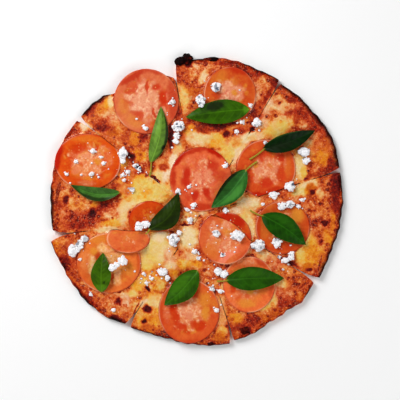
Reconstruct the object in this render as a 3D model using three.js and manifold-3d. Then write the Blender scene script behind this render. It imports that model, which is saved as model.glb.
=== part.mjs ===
import * as THREE from "three";
import { mergeVertices } from "three/addons/utils/BufferGeometryUtils.js";
import Module from "manifold-3d";

// A baked thin-crust margherita pizza, cut into eight slices that still lie together.
// Millimetres, +Z up. The underside of the crust is at z = 0, the middle of the outline
// at x = y = 0, +X the pizza's right and +Y its far side.
// Pieces: eight crust slices, the melted cheese on each, tomato slices and half slices,
// basil leaves, and large crumbs of a white blue-veined cheese. Small crumbs are part of
// the cheese or the tomato that they stick to.

const wasm = await Module();
wasm.setup();

// Crust: a flat disc of dough with a low, scorched rim.
const doughHeight = 4;
const rimHeight = 6.4;
const lipTop = 3.4;
const lipUnder = 1.4;
const rimWave = 0.7;
const edgeCrinkle = 0.8;

// Cuts: where the wheel's cuts meet, half the gap between slices, how far a gap opens.
const cutCentre = new THREE.Vector2(3, -15);
const halfGap = 0.45;
const notchLength = 22;

// Melted cheese: a skin on the dough, up to a few millimetres from the rim.
const cheeseClear = 0.25;
const cheeseLevel = 6.8;
const cheeseRelief = 0.45;

// Tomato: slices sunk a little into the cheese, in pockets slightly larger than they are.
const tomatoBase = 5.3;
const tomatoThick = 3.2;
const pocketSide = 0.35;
const pocketFloor = 0.3;
const tomatoSegments = 18;
const tomatoRings = [0.3, 0.62, 0.86, 1];
const cavityDepth = 1;

// Basil and crumbs: leaf thickness, and the gap to what a piece rests on.
const leafThick = 0.6;
const restGap = 0.3;

// Grid of one slice: columns across it, the radii of the inner rings, and the distances
// from the edge of the rings on the rim.
const sliceColumns = 8;
const innerRadii = [14, 26, 53, 81, 105];
const rimInsets = [17, 10, 5, 2.5, 0];
const cheeseRings = innerRadii.length + 3;

// Courses of the eight cuts, clockwise from the far left one, as [radius, angle] steps
// about the point where they meet. They bend only at the inner rings. A straight cut has
// one step.
const cutCourses = [
  [[0, 99.8]],
  [[0, 58.9]],
  [[0, 17.8]],
  [[0, 0], [14, -3], [26, -9], [53, -25.7], [81, -27.6], [105, -28.9]],
  [[0, -93.5], [26, -92.5], [53, -81.5], [81, -76], [105, -75]],
  [[0, -123.2]],
  [[0, -142], [14, -142], [26, -150], [53, -164], [81, -170.3], [105, -172.2]],
  [[0, -218.8]],
];

// Outer edge of each slice, as [angle, radius] about the same point, corner to corner.
const rimOutlines = [
  [[59.5, 152.3], [70.9, 152.6], [78.6, 154.4], [83, 153.9], [92.4, 151.1], [99, 148]],
  [[18.8, 143.4], [28.1, 148], [33.6, 149.8], [41.5, 148.8], [48, 150.2], [58.4, 149.9]],
  [[-27.5, 131], [-17.5, 131.5], [-9.3, 134.4], [4.7, 139.2], [17.2, 142.5]],
  [[-74.7, 125.4], [-69.5, 126.1], [-56.8, 123.9], [-47.9, 125.3], [-40.4, 129.7], [-30.4, 128.6]],
  [[-121.8, 127.3], [-110.2, 123.5], [-103, 123.5], [-88.2, 125.9], [-76.6, 127.5]],
  [[-170.1, 146.2], [-156.9, 140.9], [-144.4, 138.4], [-132.8, 134.1], [-124.4, 127.5]],
  [[-217.8, 150.1], [-206, 150.8], [-194.6, 147.6], [-186, 145.1], [-174.2, 142.9]],
  [[-259.5, 135.9], [-257, 139.1], [-235.4, 143.8], [-231.1, 148.8], [-226, 150.4], [-219.7, 149.6]],
];

// Scorched lumps on the rim: the slice, the middle, and the lump's length, width, height.
const scorchedLumps = [
  { slice: 1, x: -15, y: 134, z: 5, size: [11, 9, 8] },
  { slice: 1, x: -8.5, y: 136.5, z: 5, size: [10, 10, 9] },
  { slice: 1, x: 15, y: 136, z: 4.5, size: [15, 5, 6] },
  { slice: 4, x: 47, y: -125, z: 5, size: [14, 9, 7] },
];

// Tomato slices: the slice of pizza they lie on (none for the one that bridges cuts),
// the middle, the two radii, the turn of the seed pockets, and what they lean on.
const tomatoSlices = [
  { on: 8, x: -48.3, y: 95.1, rx: 31.3, ry: 31.4, turn: 10 },
  { on: 1, x: 32.4, y: 101.8, rx: 25.1, ry: 26.5, turn: 35 },
  { on: 7, x: -104.6, y: 36.7, rx: 31.8, ry: 27, turn: 0 },
  { on: 0, x: 4.4, y: 19.8, rx: 29.9, ry: 30.9, turn: 30 },
  { on: 2, x: 67.1, y: 30.2, rx: 28.6, ry: 28, turn: 5 },
  { on: 3, x: 27.6, y: -36.7, rx: 25.5, ry: 25.1, turn: 20 },
  { on: 4, x: 27.6, y: -36.7, rx: 25.5, ry: 25.1, turn: 20, leansOn: 12 },
  { on: 7, x: -44.8, y: -20.3, rx: 20.3, ry: 19.3, turn: 0 },
  { on: 6, x: -65.5, y: -37.2, rx: 20.7, ry: 13.8, turn: 15, leansOn: 10 },
  { on: 6, x: -84.3, y: -60.8, rx: 30.9, ry: 28.9, turn: 40 },
  { on: 5, x: -7.1, y: -107.1, rx: 29.4, ry: 30.9, turn: 25 },
  { on: 4, x: 50.8, y: -81.5, rx: 25.1, ry: 27, turn: 12 },
  { on: 3, x: 83.2, y: -26.5, rx: 26.1, ry: 25.6, turn: 50 },
];

// Basil leaves: where the blade starts and ends, its width, how far its middle arches up,
// how steeply its halves fold (down where negative), and how far it bends sideways.
const basilLeaves = [
  { base: [51.1, 87.2], tip: [-10.1, 79.8], width: 23.2, arch: 3, fold: -0.16, bend: -1 },
  { base: [-44, 36], tip: [-34, 90], stem: [-45, 23], width: 16.4, arch: 3, fold: -0.3, bend: -4 },
  { base: [64, 49], tip: [114.4, 67], stem: [51, 39], width: 17.4, arch: 2.5, fold: 0.3, bend: -2 },
  { base: [48, 29], tip: [14.3, -7.7], stem: [58.5, 37], width: 21.2, arch: 2.5, fold: 0.12, bend: 3 },
  { base: [-73.7, 7.1], tip: [-120.6, 14.5], width: 13.5, arch: -1.5, fold: 0.55, bend: 5 },
  { base: [-45.7, -28.5], tip: [-17.3, 6.8], stem: [-48.6, -32.8], width: 20.5, arch: 3, fold: -0.15, bend: -7 },
  { base: [63, -14.5], tip: [105, -43], stem: [51.7, -10], width: 23.2, arch: 2.5, fold: 0.14, bend: 2 },
  { base: [-91.1, -88.8], tip: [-89.8, -50.7], width: 19.3, arch: 2, fold: 0.16, bend: 1 },
  { base: [1.3, -67.9], tip: [-30.8, -101.1], width: 23.2, arch: 3, fold: 0.12, bend: 2 },
  { base: [28.4, -77], tip: [84.5, -75.3], stem: [19.7, -78], width: 22.7, arch: 2.5, fold: 0.15, bend: 1 },
];
const bladeSteps = 7;
const bladeRows = [-1, -0.5, 0, 0.5, 1];
const stemHalfWidth = 0.7;

// Large crumbs: each is one lump or a cluster of lumps, as [x, y, size in x, size in y].
// A lump whose two sizes add up to more than the first value has more faces.
const fineLumpSize = 17.5;
const largeCrumbs = [
  [[19, 109, 9, 10]],
  [[4, 95, 8.5, 12]],
  [[-17, 71, 12, 12], [-19, 62, 6, 7], [-20, 56.5, 6.5, 6]],
  [[58, 75, 9, 10]],
  [[-71, 45, 9, 11], [-71, 37.5, 6, 6]],
  [[104.5, 46, 12, 10], [105.5, 37.5, 8, 8]],
  [[90, 13, 10.5, 10]],
  [[74.5, 4, 9, 8]],
  [[82, -6, 9, 8], [90.5, -4, 9, 8]],
  [[19, -32, 8, 8]],
  [[39, -34, 14, 11.5]],
  [[59, -44, 13.5, 11.5]],
  [[77.5, -41, 9, 9.5]],
  [[91.5, -53.5, 7, 10], [85.5, -58, 7.5, 6]],
  [[-55, -25, 8.5, 10], [-48, -23, 8.5, 7.5]],
  [[-22.5, -38.5, 11, 13.5], [-16.5, -31.5, 5.5, 5.5]],
  [[-119, -49, 12, 12], [-112.5, -43, 9, 9], [-107.5, -37, 8, 7]],
  [[-70.5, -58, 9.5, 9.5], [-76, -62, 7, 6], [-80.5, -65, 8, 7.5]],
  [[-32.5, -69.5, 10.5, 8], [-28, -75, 5, 6.5]],
  [[21, -69, 8.5, 8.5], [27, -71.5, 8.5, 8]],
];

// Small crumbs, as [x, y, size], stuck to the cheese or the tomato beneath them.
const smallCrumbs = [
  [-23, 94, 6.8], [-49, 69, 6.3], [52, 91, 4.8], [39, 66, 5], [44, 75, 5], [-100, 47, 6.3],
  [-116, 37, 4.8], [-125, 25, 4.4], [-101, 25, 5.8], [-91.8, 41.2, 3.6], [-59, 33, 5.8],
  [-55, 30, 4.8], [-66, 27, 5.8], [-71, 24, 5], [-70, 19, 4.2], [-62, 10, 6.3],
  [102, 0, 5], [98, -6, 5], [28, 33, 5.8], [-7, 13, 4.6], [-18, 8.5, 6], [-3, -5, 6.3],
  [-9, -9, 5], [-6, -19, 6.8], [28, -10, 6.8], [80, -55, 4.2], [-102, -91, 4.8],
  [-80, -106, 5], [-43, -76, 4.6], [-51, -71, 4.4], [-48, -80, 4.4], [-2, -50, 6.6],
  [2, -56, 4.4], [15, -86, 6.4], [23, -88, 5.8], [19, -106, 6], [25, -53, 5.4],
  [-112, -57, 3.6], [-89.2, 35.4, 4.8], [64, -4, 4], [-26, -24, 4.6], [66.2, 55.6, 4.4],
];

const radians = THREE.MathUtils.degToRad;
const clamp01 = (value) => THREE.MathUtils.clamp(value, 0, 1);
const mix = THREE.MathUtils.lerp;

// Repeatable random numbers from 0 to 1.
function makeRandom(seed) {
  let state = seed;
  return () => {
    state = (Math.imul(state, 1664525) + 1013904223) >>> 0;
    return state / 4294967296;
  };
}

// Value at x of a line through [x, value] steps, held at its first and last value.
function alongSteps(steps, x) {
  if (x <= steps[0][0]) return steps[0][1];
  for (let i = 1; i < steps.length; i += 1) {
    const [x0, v0] = steps[i - 1];
    const [x1, v1] = steps[i];
    if (x <= x1) return mix(v0, v1, (x - x0) / (x1 - x0));
  }
  return steps[steps.length - 1][1];
}

// Triangles, as lists of three points, made one indexed closed geometry.
function closedGeometry(triangles) {
  const geometry = new THREE.BufferGeometry().setFromPoints(triangles.flat());
  return mergeVertices(geometry, 1e-4);
}

function solidFrom(geometry) {
  const bare = geometry.clone();
  bare.deleteAttribute("normal");
  bare.deleteAttribute("uv");
  const merged = mergeVertices(bare, 1e-4);
  return new wasm.Manifold(new wasm.Mesh({
    numProp: 3,
    vertProperties: new Float32Array(merged.attributes.position.array),
    triVerts: new Uint32Array(merged.index.array),
  }));
}

function geometryFrom(solid) {
  const { vertProperties, triVerts } = solid.getMesh();
  const geometry = new THREE.BufferGeometry();
  geometry.setAttribute("position", new THREE.BufferAttribute(new Float32Array(vertProperties), 3));
  geometry.setIndex(new THREE.BufferAttribute(new Uint32Array(triVerts), 1));
  return geometry;
}

// The largest body of a solid, without scraps that a cut has left loose.
function withoutScraps(solid) {
  const bodies = solid.decompose();
  return bodies.reduce((best, body) => (body.volume() > best.volume() ? body : best));
}

// A closed skin over a grid of {x, y, top, bottom} rows: both faces and the four edges.
// Rows run outward and columns counter-clockwise.
function gridSlab(rows, tip) {
  const up = (p) => new THREE.Vector3(p.x, p.y, p.top);
  const down = (p) => new THREE.Vector3(p.x, p.y, p.bottom);
  const triangles = [];
  const quad = (a, b, c, d) => triangles.push([a, b, c], [a, c, d]);
  const last = rows.length - 1;
  const side = rows[0].length - 1;
  for (let j = 0; j < side; j += 1) {
    if (tip) {
      triangles.push([up(tip), up(rows[0][j]), up(rows[0][j + 1])]);
      triangles.push([down(tip), down(rows[0][j + 1]), down(rows[0][j])]);
    } else {
      quad(down(rows[0][j + 1]), down(rows[0][j]), up(rows[0][j]), up(rows[0][j + 1]));
    }
    for (let i = 0; i < last; i += 1) {
      const corners = [rows[i][j], rows[i + 1][j], rows[i + 1][j + 1], rows[i][j + 1]];
      quad(...corners.map(up));
      quad(...corners.reverse().map(down));
    }
    quad(down(rows[last][j]), down(rows[last][j + 1]), up(rows[last][j + 1]), up(rows[last][j]));
  }
  const lowSide = rows.map((row) => row[0]);
  const highSide = rows.map((row) => row[side]);
  if (tip) {
    lowSide.unshift(tip);
    highSide.unshift(tip);
  }
  for (let i = 1; i < lowSide.length; i += 1) {
    quad(down(lowSide[i - 1]), down(lowSide[i]), up(lowSide[i]), up(lowSide[i - 1]));
    quad(down(highSide[i]), down(highSide[i - 1]), up(highSide[i - 1]), up(highSide[i]));
  }
  return closedGeometry(triangles);
}

// One slice's plan: its two cut sides, its tip and its edge, about the cuts' meeting point.
function slicePlan(number) {
  const rim = rimOutlines[number - 1];
  const highCut = cutCourses[number - 1];
  const lowCut = number < 8 ? cutCourses[number] : cutCourses[0].map(([r, a]) => [r, a - 360]);
  const [lowCorner, highCorner] = [rim[0], rim[rim.length - 1]];
  const lowNotch = lowCorner[0] - alongSteps(lowCut, lowCorner[1]);
  const highNotch = alongSteps(highCut, highCorner[1]) - highCorner[0];
  const gapAngle = (r) => THREE.MathUtils.radToDeg(Math.asin(Math.min(1, halfGap / r)));
  const opening = (r, edge) => clamp01((r - edge + notchLength) / notchLength) ** 2;
  const spread = radians(alongSteps(highCut, 0) - alongSteps(lowCut, 0));
  const tipRadius = halfGap / Math.sin(spread / 2);

  // Angle at radius r, a share of the way from the low side to the high side.
  const angleAt = (share, r, notched = true) => {
    const lowOpening = notched ? lowNotch * opening(r, lowCorner[1]) : 0;
    const highOpening = notched ? highNotch * opening(r, highCorner[1]) : 0;
    const low = alongSteps(lowCut, r) + gapAngle(r) + lowOpening;
    const high = alongSteps(highCut, r) - gapAngle(r) - highOpening;
    return radians(mix(low, high, share));
  };
  const pointAt = (share, r, notched) => {
    const angle = angleAt(share, r, notched);
    return { x: cutCentre.x + r * Math.cos(angle), y: cutCentre.y + r * Math.sin(angle) };
  };
  const edgeAt = (share) => {
    const angle = mix(lowCorner[0], highCorner[0], share);
    const crinkle = Math.sin(angle * 0.9) * Math.sin(angle * 0.37 + number);
    return alongSteps(rim, angle) + edgeCrinkle * crinkle * Math.sin(Math.PI * share);
  };
  return { number, tipRadius, pointAt, edgeAt };
}

// Points of one slice: the tip, then rings of {x, y, inset, angle} out to its edge.
function sliceGrid(plan) {
  const rows = [];
  const addRow = (radiusAt) => {
    const row = [];
    for (let j = 0; j <= sliceColumns; j += 1) {
      const share = j / sliceColumns;
      const edge = plan.edgeAt(share);
      const radius = radiusAt(edge);
      row.push({ ...plan.pointAt(share, radius), inset: edge - radius });
    }
    rows.push(row);
  };
  innerRadii.forEach((radius) => addRow(() => radius));
  rimInsets.forEach((inset) => addRow((edge) => edge - inset));
  const tip = { ...plan.pointAt(0.5, plan.tipRadius), inset: plan.edgeAt(0.5) - plan.tipRadius };
  return { tip, rows };
}

// Height of the crust's top: flat dough, then the slope up to the uneven rim.
function crustTop(point) {
  const profile = [[0, lipTop], [2.5, rimHeight], [5, 5.6], [10, 4.4], [17, doughHeight]];
  const waviness = alongSteps([[0, 0], [2.5, 1], [5, 0.7], [10, 0.2], [17, 0]], point.inset);
  const wave = Math.sin(point.x * 0.11 + 1) * Math.sin(point.y * 0.13) * rimWave;
  return alongSteps(profile, point.inset) + waviness * wave;
}

// A slice of crust, baked flat on the stone: all that is below z = 0 is cut away.
function crustSlice(plan) {
  const underside = [[0, lipUnder], [2.5, -0.2], [5, -1]];
  const shape = (p) => ({ ...p, top: crustTop(p), bottom: alongSteps(underside, p.inset) });
  const { tip, rows } = sliceGrid(plan);
  const slab = solidFrom(gridSlab(rows.map((row) => row.map(shape)), shape(tip)));
  const stone = new THREE.BoxGeometry(400, 400, 10).translate(0, 0, -5);
  return slab.subtract(solidFrom(stone));
}

// The melted cheese of one slice, thin at its outer edge and uneven on top.
function cheeseSlice(plan) {
  const random = makeRandom(40 + plan.number);
  const thickness = [[5, 0.7], [10, 2], [17, cheeseLevel - doughHeight - cheeseClear]];
  const shape = (p) => {
    const bottom = crustTop(p) + cheeseClear;
    const relief = (random() * 2 - 1) * cheeseRelief * clamp01((p.inset - 5) / 8);
    return { ...p, bottom, top: bottom + alongSteps(thickness, p.inset) + relief };
  };
  const { tip, rows } = sliceGrid(plan);
  const cheeseRows = rows.slice(0, cheeseRings).map((row) => row.map(shape));
  return solidFrom(gridSlab(cheeseRows, shape(tip)));
}

// A tall prism on one slice's plan, which trims what the wheel has cut along with it.
function sliceKnife(plan) {
  const radii = [...innerRadii, 130, 240];
  const lowSide = radii.map((radius) => plan.pointAt(0, radius, false));
  const highSide = radii.map((radius) => plan.pointAt(1, radius, false));
  const outline = [plan.pointAt(0.5, plan.tipRadius), ...lowSide, ...highSide.reverse()];
  const shape = new THREE.Shape(outline.map((p) => new THREE.Vector2(p.x, p.y)));
  const prism = new THREE.ExtrudeGeometry(shape, { depth: 60, bevelEnabled: false });
  return solidFrom(prism.translate(0, 0, -5));
}

// How far a slice that leans on another is lifted at a point: fully over the other one,
// and then less over a short bend beside it.
function leanAt(tomato, x, y) {
  if (!tomato.leansOn) return 0;
  const under = tomatoSlices[tomato.leansOn - 1];
  const ratio = Math.hypot((x - under.x) / under.rx, (y - under.y) / under.ry);
  const outside = (ratio - 1) * Math.min(under.rx, under.ry);
  const share = clamp01(1 - (outside - 4) / 9);
  return (tomatoThick + 0.5) * share * share * (3 - 2 * share);
}

// A disc over rings and segments, closed by a wall. The two height functions take the
// ring's share of the radius and the segment's number.
function disc(tomato, grow, topRings, topHeight, bottomRings, bottomHeight) {
  const place = (ring, j, height) => {
    const angle = (2 * Math.PI * j) / tomatoSegments + radians(tomato.turn);
    const x = tomato.x + (tomato.rx * ring + grow) * Math.cos(angle);
    const y = tomato.y + (tomato.ry * ring + grow) * Math.sin(angle);
    return new THREE.Vector3(x, y, height(ring, j) + leanAt(tomato, x, y));
  };
  const middle = (height) => {
    const lift = leanAt(tomato, tomato.x, tomato.y);
    return new THREE.Vector3(tomato.x, tomato.y, height(0, 0) + lift);
  };
  const triangles = [];
  const face = (rings, height, upward) => {
    const add = (a, b, c) => triangles.push(upward ? [a, b, c] : [a, c, b]);
    for (let j = 0; j < tomatoSegments; j += 1) {
      const next = (j + 1) % tomatoSegments;
      add(middle(height), place(rings[0], j, height), place(rings[0], next, height));
      for (let i = 1; i < rings.length; i += 1) {
        const inner = [place(rings[i - 1], j, height), place(rings[i - 1], next, height)];
        const outer = [place(rings[i], j, height), place(rings[i], next, height)];
        add(inner[0], outer[0], outer[1]);
        add(inner[0], outer[1], inner[1]);
      }
    }
  };
  face(topRings, topHeight, true);
  face(bottomRings, bottomHeight, false);
  for (let j = 0; j < tomatoSegments; j += 1) {
    const next = (j + 1) % tomatoSegments;
    const low = [place(1, j, bottomHeight), place(1, next, bottomHeight)];
    const high = [place(1, j, topHeight), place(1, next, topHeight)];
    triangles.push([low[0], low[1], high[1]], [low[0], high[1], high[0]]);
  }
  return solidFrom(closedGeometry(triangles));
}

// A tomato slice: a firm core, six seed pockets sunk between ribs, and a raised wall.
function tomatoSolid(tomato) {
  const topHeight = (ring, j) => {
    const isPocket = j % 3 !== 0;
    if (ring === tomatoRings[1] && isPocket) return tomatoBase + tomatoThick - cavityDepth;
    return tomatoBase + tomatoThick - (ring < 0.5 ? 0.3 : 0);
  };
  const bottomRings = tomato.leansOn ? tomatoRings : [1];
  return disc(tomato, 0, tomatoRings, topHeight, bottomRings, () => tomatoBase);
}

// The room that a tomato slice takes in the cheese and, at the edge, in the rim.
function tomatoPocket(tomato) {
  const bottomRings = tomato.leansOn ? tomatoRings : [1];
  return disc(tomato, pocketSide, [1], () => 40, bottomRings, () => tomatoBase - pocketFloor);
}

// Half the blade's width at a share of its length: a pointed oval, fullest near the base.
function bladeHalfWidth(leaf, share) {
  return Math.max(0.5, (leaf.width / 2) * Math.sin(Math.PI * share ** 0.82) ** 0.85);
}

// A leaf: a thin arched blade folded along its midrib, with a short stem where it shows.
function leafGeometry(leaf, heightOf) {
  const base = new THREE.Vector2(...leaf.base);
  const tip = new THREE.Vector2(...leaf.tip);
  const along = tip.clone().sub(base).normalize();
  const across = new THREE.Vector2(-along.y, along.x);
  const baseHeight = heightOf(mix(base.x, tip.x, 0.15), mix(base.y, tip.y, 0.15));
  const tipHeight = heightOf(mix(base.x, tip.x, 0.85), mix(base.y, tip.y, 0.85));
  const rows = [];
  const addRow = (middle, half, height, share) => {
    rows.push(bladeRows.map((row) => {
      const offset = row * half;
      const ripple = 0.5 * Math.abs(row) * Math.sin(share * 13 + row * 2);
      const z = height + leaf.fold * Math.abs(offset) + ripple;
      const p = middle.clone().addScaledVector(across, offset);
      return { x: p.x, y: p.y, top: z + leafThick, bottom: z };
    }));
  };
  if (leaf.stem) {
    const stem = new THREE.Vector2(...leaf.stem);
    for (const share of [0, 0.5]) {
      const middle = stem.clone().lerp(base, share);
      addRow(middle, stemHalfWidth, baseHeight, 0);
    }
  }
  for (let i = 0; i <= bladeSteps; i += 1) {
    const share = i / bladeSteps;
    const bow = Math.sin(Math.PI * share);
    const middle = base.clone().lerp(tip, share).addScaledVector(across, leaf.bend * bow);
    const half = bladeHalfWidth(leaf, share);
    addRow(middle, half, mix(baseHeight, tipHeight, share) + leaf.arch * bow, share);
  }
  return gridSlab(rows.map((row) => row.slice()), null);
}

// A rough rounded lump, flat beneath. Its points are moved in and out at random.
function lumpSolid(x, y, z, size, detail, seed) {
  const random = makeRandom(seed);
  const ball = new THREE.IcosahedronGeometry(1, detail);
  ball.deleteAttribute("normal");
  ball.deleteAttribute("uv");
  const lump = mergeVertices(ball, 1e-4);
  const position = lump.attributes.position;
  for (let i = 0; i < position.count; i += 1) {
    const reach = 0.84 + 0.3 * random();
    const height = Math.max(position.getZ(i) * reach, -0.45);
    position.setXYZ(i, position.getX(i) * reach, position.getY(i) * reach, height);
  }
  lump.scale(size[0] / 2, size[1] / 2, size[2] / 2).translate(x, y, z);
  return solidFrom(lump);
}

// Solids in place, by node name, with the triangles of their upper faces.
const placed = new Map();
let upperFaces = [];

function readUpperFaces(name, solid) {
  const { vertProperties: v, triVerts: t } = solid.getMesh();
  for (let i = 0; i < t.length; i += 3) {
    const [a, b, c] = [t[i] * 3, t[i + 1] * 3, t[i + 2] * 3];
    const area = (v[b] - v[a]) * (v[c + 1] - v[a + 1]) - (v[c] - v[a]) * (v[b + 1] - v[a + 1]);
    if (area <= 0) continue;
    const points = [a, b, c].map((k) => [v[k], v[k + 1], v[k + 2]]);
    const xs = points.map((p) => p[0]);
    const ys = points.map((p) => p[1]);
    const box = [Math.min(...xs), Math.max(...xs), Math.min(...ys), Math.max(...ys)];
    upperFaces.push({ name, points, area, box });
  }
}

function place(name, solid) {
  placed.set(name, solid);
  upperFaces = upperFaces.filter((face) => face.name !== name);
  readUpperFaces(name, solid);
}

// The highest upper face at a point: its node's name and its height there.
function surfaceAt(x, y) {
  let found = { name: "", height: 0 };
  for (const { name, points, area, box } of upperFaces) {
    if (x < box[0] || x > box[1] || y < box[2] || y > box[3]) continue;
    const [a, b, c] = points;
    const u = ((b[0] - x) * (c[1] - y) - (c[0] - x) * (b[1] - y)) / area;
    const v = ((c[0] - x) * (a[1] - y) - (a[0] - x) * (c[1] - y)) / area;
    const w = 1 - u - v;
    if (u < -1e-6 || v < -1e-6 || w < -1e-6) continue;
    const height = u * a[2] + v * b[2] + w * c[2];
    if (height > found.height) found = { name, height };
  }
  return found;
}

const heightAt = (x, y) => surfaceAt(x, y).height;

// Names of the placed nodes that a solid runs into.
function hits(solid, besides) {
  const box = solid.boundingBox();
  return [...placed].filter(([name, other]) => {
    if (name === besides) return false;
    const near = other.boundingBox();
    const apart = [0, 1, 2].some((k) => near.min[k] > box.max[k] || near.max[k] < box.min[k]);
    return !apart && solid.intersect(other).volume() > 1e-4;
  });
}

// Lets a piece down until it rests, just clear of everything that is placed already.
function settle(solid) {
  const { vertProperties: v } = solid.getMesh();
  let lift = -Infinity;
  for (let i = 0; i < v.length; i += 3) {
    lift = Math.max(lift, heightAt(v[i], v[i + 1]) - v[i + 2]);
  }
  let rested = solid.translate([0, 0, lift + restGap]);
  while (hits(rested.translate([0, 0, -0.15]), "").length) {
    rested = rested.translate([0, 0, 0.2]);
  }
  return rested;
}

// Crust, cheese and tomato
const plans = rimOutlines.map((_, i) => slicePlan(i + 1));
const tomatoSolids = tomatoSlices.map((tomato) => {
  const whole = tomatoSolid(tomato);
  return tomato.on ? whole.intersect(sliceKnife(plans[tomato.on - 1])) : whole;
});
plans.forEach((plan) => {
  let crust = crustSlice(plan);
  let cheese = cheeseSlice(plan);
  tomatoSlices.forEach((tomato) => {
    if (tomato.on && tomato.on !== plan.number) return;
    const pocket = tomatoPocket(tomato);
    crust = crust.subtract(pocket);
    cheese = cheese.subtract(pocket);
  });
  scorchedLumps.filter((lump) => lump.slice === plan.number).forEach(({ x, y, z, size }, i) => {
    const room = size.map((length) => length + 2 * restGap);
    crust = crust.add(lumpSolid(x, y, z, size, 1, 7 + i));
    cheese = cheese.subtract(lumpSolid(x, y, z, room, 1, 7 + i));
  });
  place(`crust_${plan.number}`, withoutScraps(crust));
  place(`cheese_${plan.number}`, withoutScraps(cheese));
});
tomatoSolids.forEach((solid, i) => place(`tomato_${i + 1}`, withoutScraps(solid)));

// Basil
basilLeaves.forEach((leaf, i) => {
  place(`basil_${i + 1}`, settle(solidFrom(leafGeometry(leaf, heightAt))));
});

// Large crumbs, let down as whole clusters
largeCrumbs.forEach((lumps, i) => {
  const pieces = lumps.map(([x, y, sizeX, sizeY], k) => {
    const height = 0.62 * (sizeX + sizeY) / 2;
    const detail = sizeX + sizeY > fineLumpSize ? 1 : 0;
    return lumpSolid(x, y, 0, [sizeX, sizeY, height], detail, 100 + 10 * i + k);
  });
  const cluster = pieces.reduce((whole, piece) => whole.add(piece));
  place(`crumb_${i + 1}`, settle(withoutScraps(cluster)));
});

// Small crumbs, joined to what they lie on where they are clear of every other piece
smallCrumbs.forEach(([x, y, size], i) => {
  const under = surfaceAt(x, y);
  const isBed = under.name.startsWith("cheese") || under.name.startsWith("tomato");
  if (!isBed) return;
  const dimensions = [size, size * 0.9, size * 0.75];
  const sunk = under.height - size * 0.05;
  const room = lumpSolid(x, y, sunk, dimensions.map((d) => d + 0.5), 0, 300 + i);
  if (hits(room, under.name).length) return;
  const crumb = lumpSolid(x, y, sunk, dimensions, 0, 300 + i);
  const joined = placed.get(under.name).add(crumb);
  if (joined.decompose().length === 1) place(under.name, joined);
});

const finishes = {
  crust: new THREE.MeshStandardMaterial({ color: 0xb5622c, roughness: 0.85, metalness: 0 }),
  cheese: new THREE.MeshStandardMaterial({ color: 0xe0a653, roughness: 0.45, metalness: 0 }),
  tomato: new THREE.MeshStandardMaterial({ color: 0xd9502c, roughness: 0.3, metalness: 0 }),
  basil: new THREE.MeshStandardMaterial({ color: 0x2c6a24, roughness: 0.45, metalness: 0 }),
  crumb: new THREE.MeshStandardMaterial({ color: 0xeceae8, roughness: 0.8, metalness: 0 }),
};

const pizza = new THREE.Group();
pizza.name = "margherita_pizza";
for (const [name, solid] of placed) {
  const mesh = new THREE.Mesh(geometryFrom(solid), finishes[name.split("_")[0]]);
  mesh.name = name;
  pizza.add(mesh);
}

export default pizza;
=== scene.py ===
import bpy
import numpy as np
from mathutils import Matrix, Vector


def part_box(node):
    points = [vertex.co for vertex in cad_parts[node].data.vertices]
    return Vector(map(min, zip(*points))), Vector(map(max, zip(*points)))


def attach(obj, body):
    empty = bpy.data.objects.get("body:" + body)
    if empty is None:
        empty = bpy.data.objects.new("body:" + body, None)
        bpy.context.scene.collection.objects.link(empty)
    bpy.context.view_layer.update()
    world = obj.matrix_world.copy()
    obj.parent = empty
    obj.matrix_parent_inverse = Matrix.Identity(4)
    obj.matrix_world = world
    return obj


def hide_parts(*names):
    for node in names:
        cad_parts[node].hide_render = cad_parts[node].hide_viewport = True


# A baked thin-crust pizza in eight slices, seen from straight above. Shapes are worked out
# in millimetres and put into the meshes in metres.

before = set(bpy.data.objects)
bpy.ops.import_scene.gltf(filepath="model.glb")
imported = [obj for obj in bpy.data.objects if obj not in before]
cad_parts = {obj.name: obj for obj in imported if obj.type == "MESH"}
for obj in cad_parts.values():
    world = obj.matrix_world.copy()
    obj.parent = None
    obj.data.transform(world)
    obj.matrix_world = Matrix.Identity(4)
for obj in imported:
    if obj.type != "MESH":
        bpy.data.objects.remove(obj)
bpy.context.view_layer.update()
print("frame loaded:", len(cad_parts), "nodes")

mm = 0.001


def smoothStep(low, high, value):
    # 0 at low, 1 at high, a smooth cubic between them, held outside. Low may be the larger.
    t = np.clip((value - low) / (high - low), 0, 1)
    return t * t * (3 - 2 * t)


def mix(a, b, share):
    # Straight line from a to b.
    return a + (b - a) * share


def stepsAt(steps, x):
    # Straight lines through [x, value] steps, held at the first and last value.
    table = np.array(steps, float)
    return np.interp(x, table[:, 0], table[:, 1])


def cellValue(ix, iy, seed, iz=0):
    # Repeatable value from 0 to 1 for each whole-number cell: its numbers are multiplied
    # by large primes, added, and mixed by three shifts.
    n = ix.astype(np.int64) * 374761393 + iy.astype(np.int64) * 668265263
    n = (n + np.asarray(iz).astype(np.int64) * 2147483647 + seed * 974634777) & 0xFFFFFFFF
    n = ((n ^ (n >> 13)) * 1274126177) & 0xFFFFFFFF
    n = ((n ^ (n >> 15)) * 2246822519) & 0xFFFFFFFF
    return ((n ^ (n >> 16)) & 0xFFFF) / 65535.0


def planeNoise(x, y, size, seed, level=0):
    # Random values at the corners of square cells, joined by a smooth cubic: 0 to 1.
    u, v = x / size, y / size
    iu, iv = np.floor(u), np.floor(v)
    fu, fv = u - iu, v - iv
    fu, fv = fu * fu * (3 - 2 * fu), fv * fv * (3 - 2 * fv)
    near = mix(cellValue(iu, iv, seed, level), cellValue(iu + 1, iv, seed, level), fu)
    far = mix(cellValue(iu, iv + 1, seed, level), cellValue(iu + 1, iv + 1, seed, level), fu)
    return mix(near, far, fv)


def softNoise(x, y, size, seed):
    # Plane noise from -1 to 1.
    return 2 * planeNoise(x, y, size, seed) - 1


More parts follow.
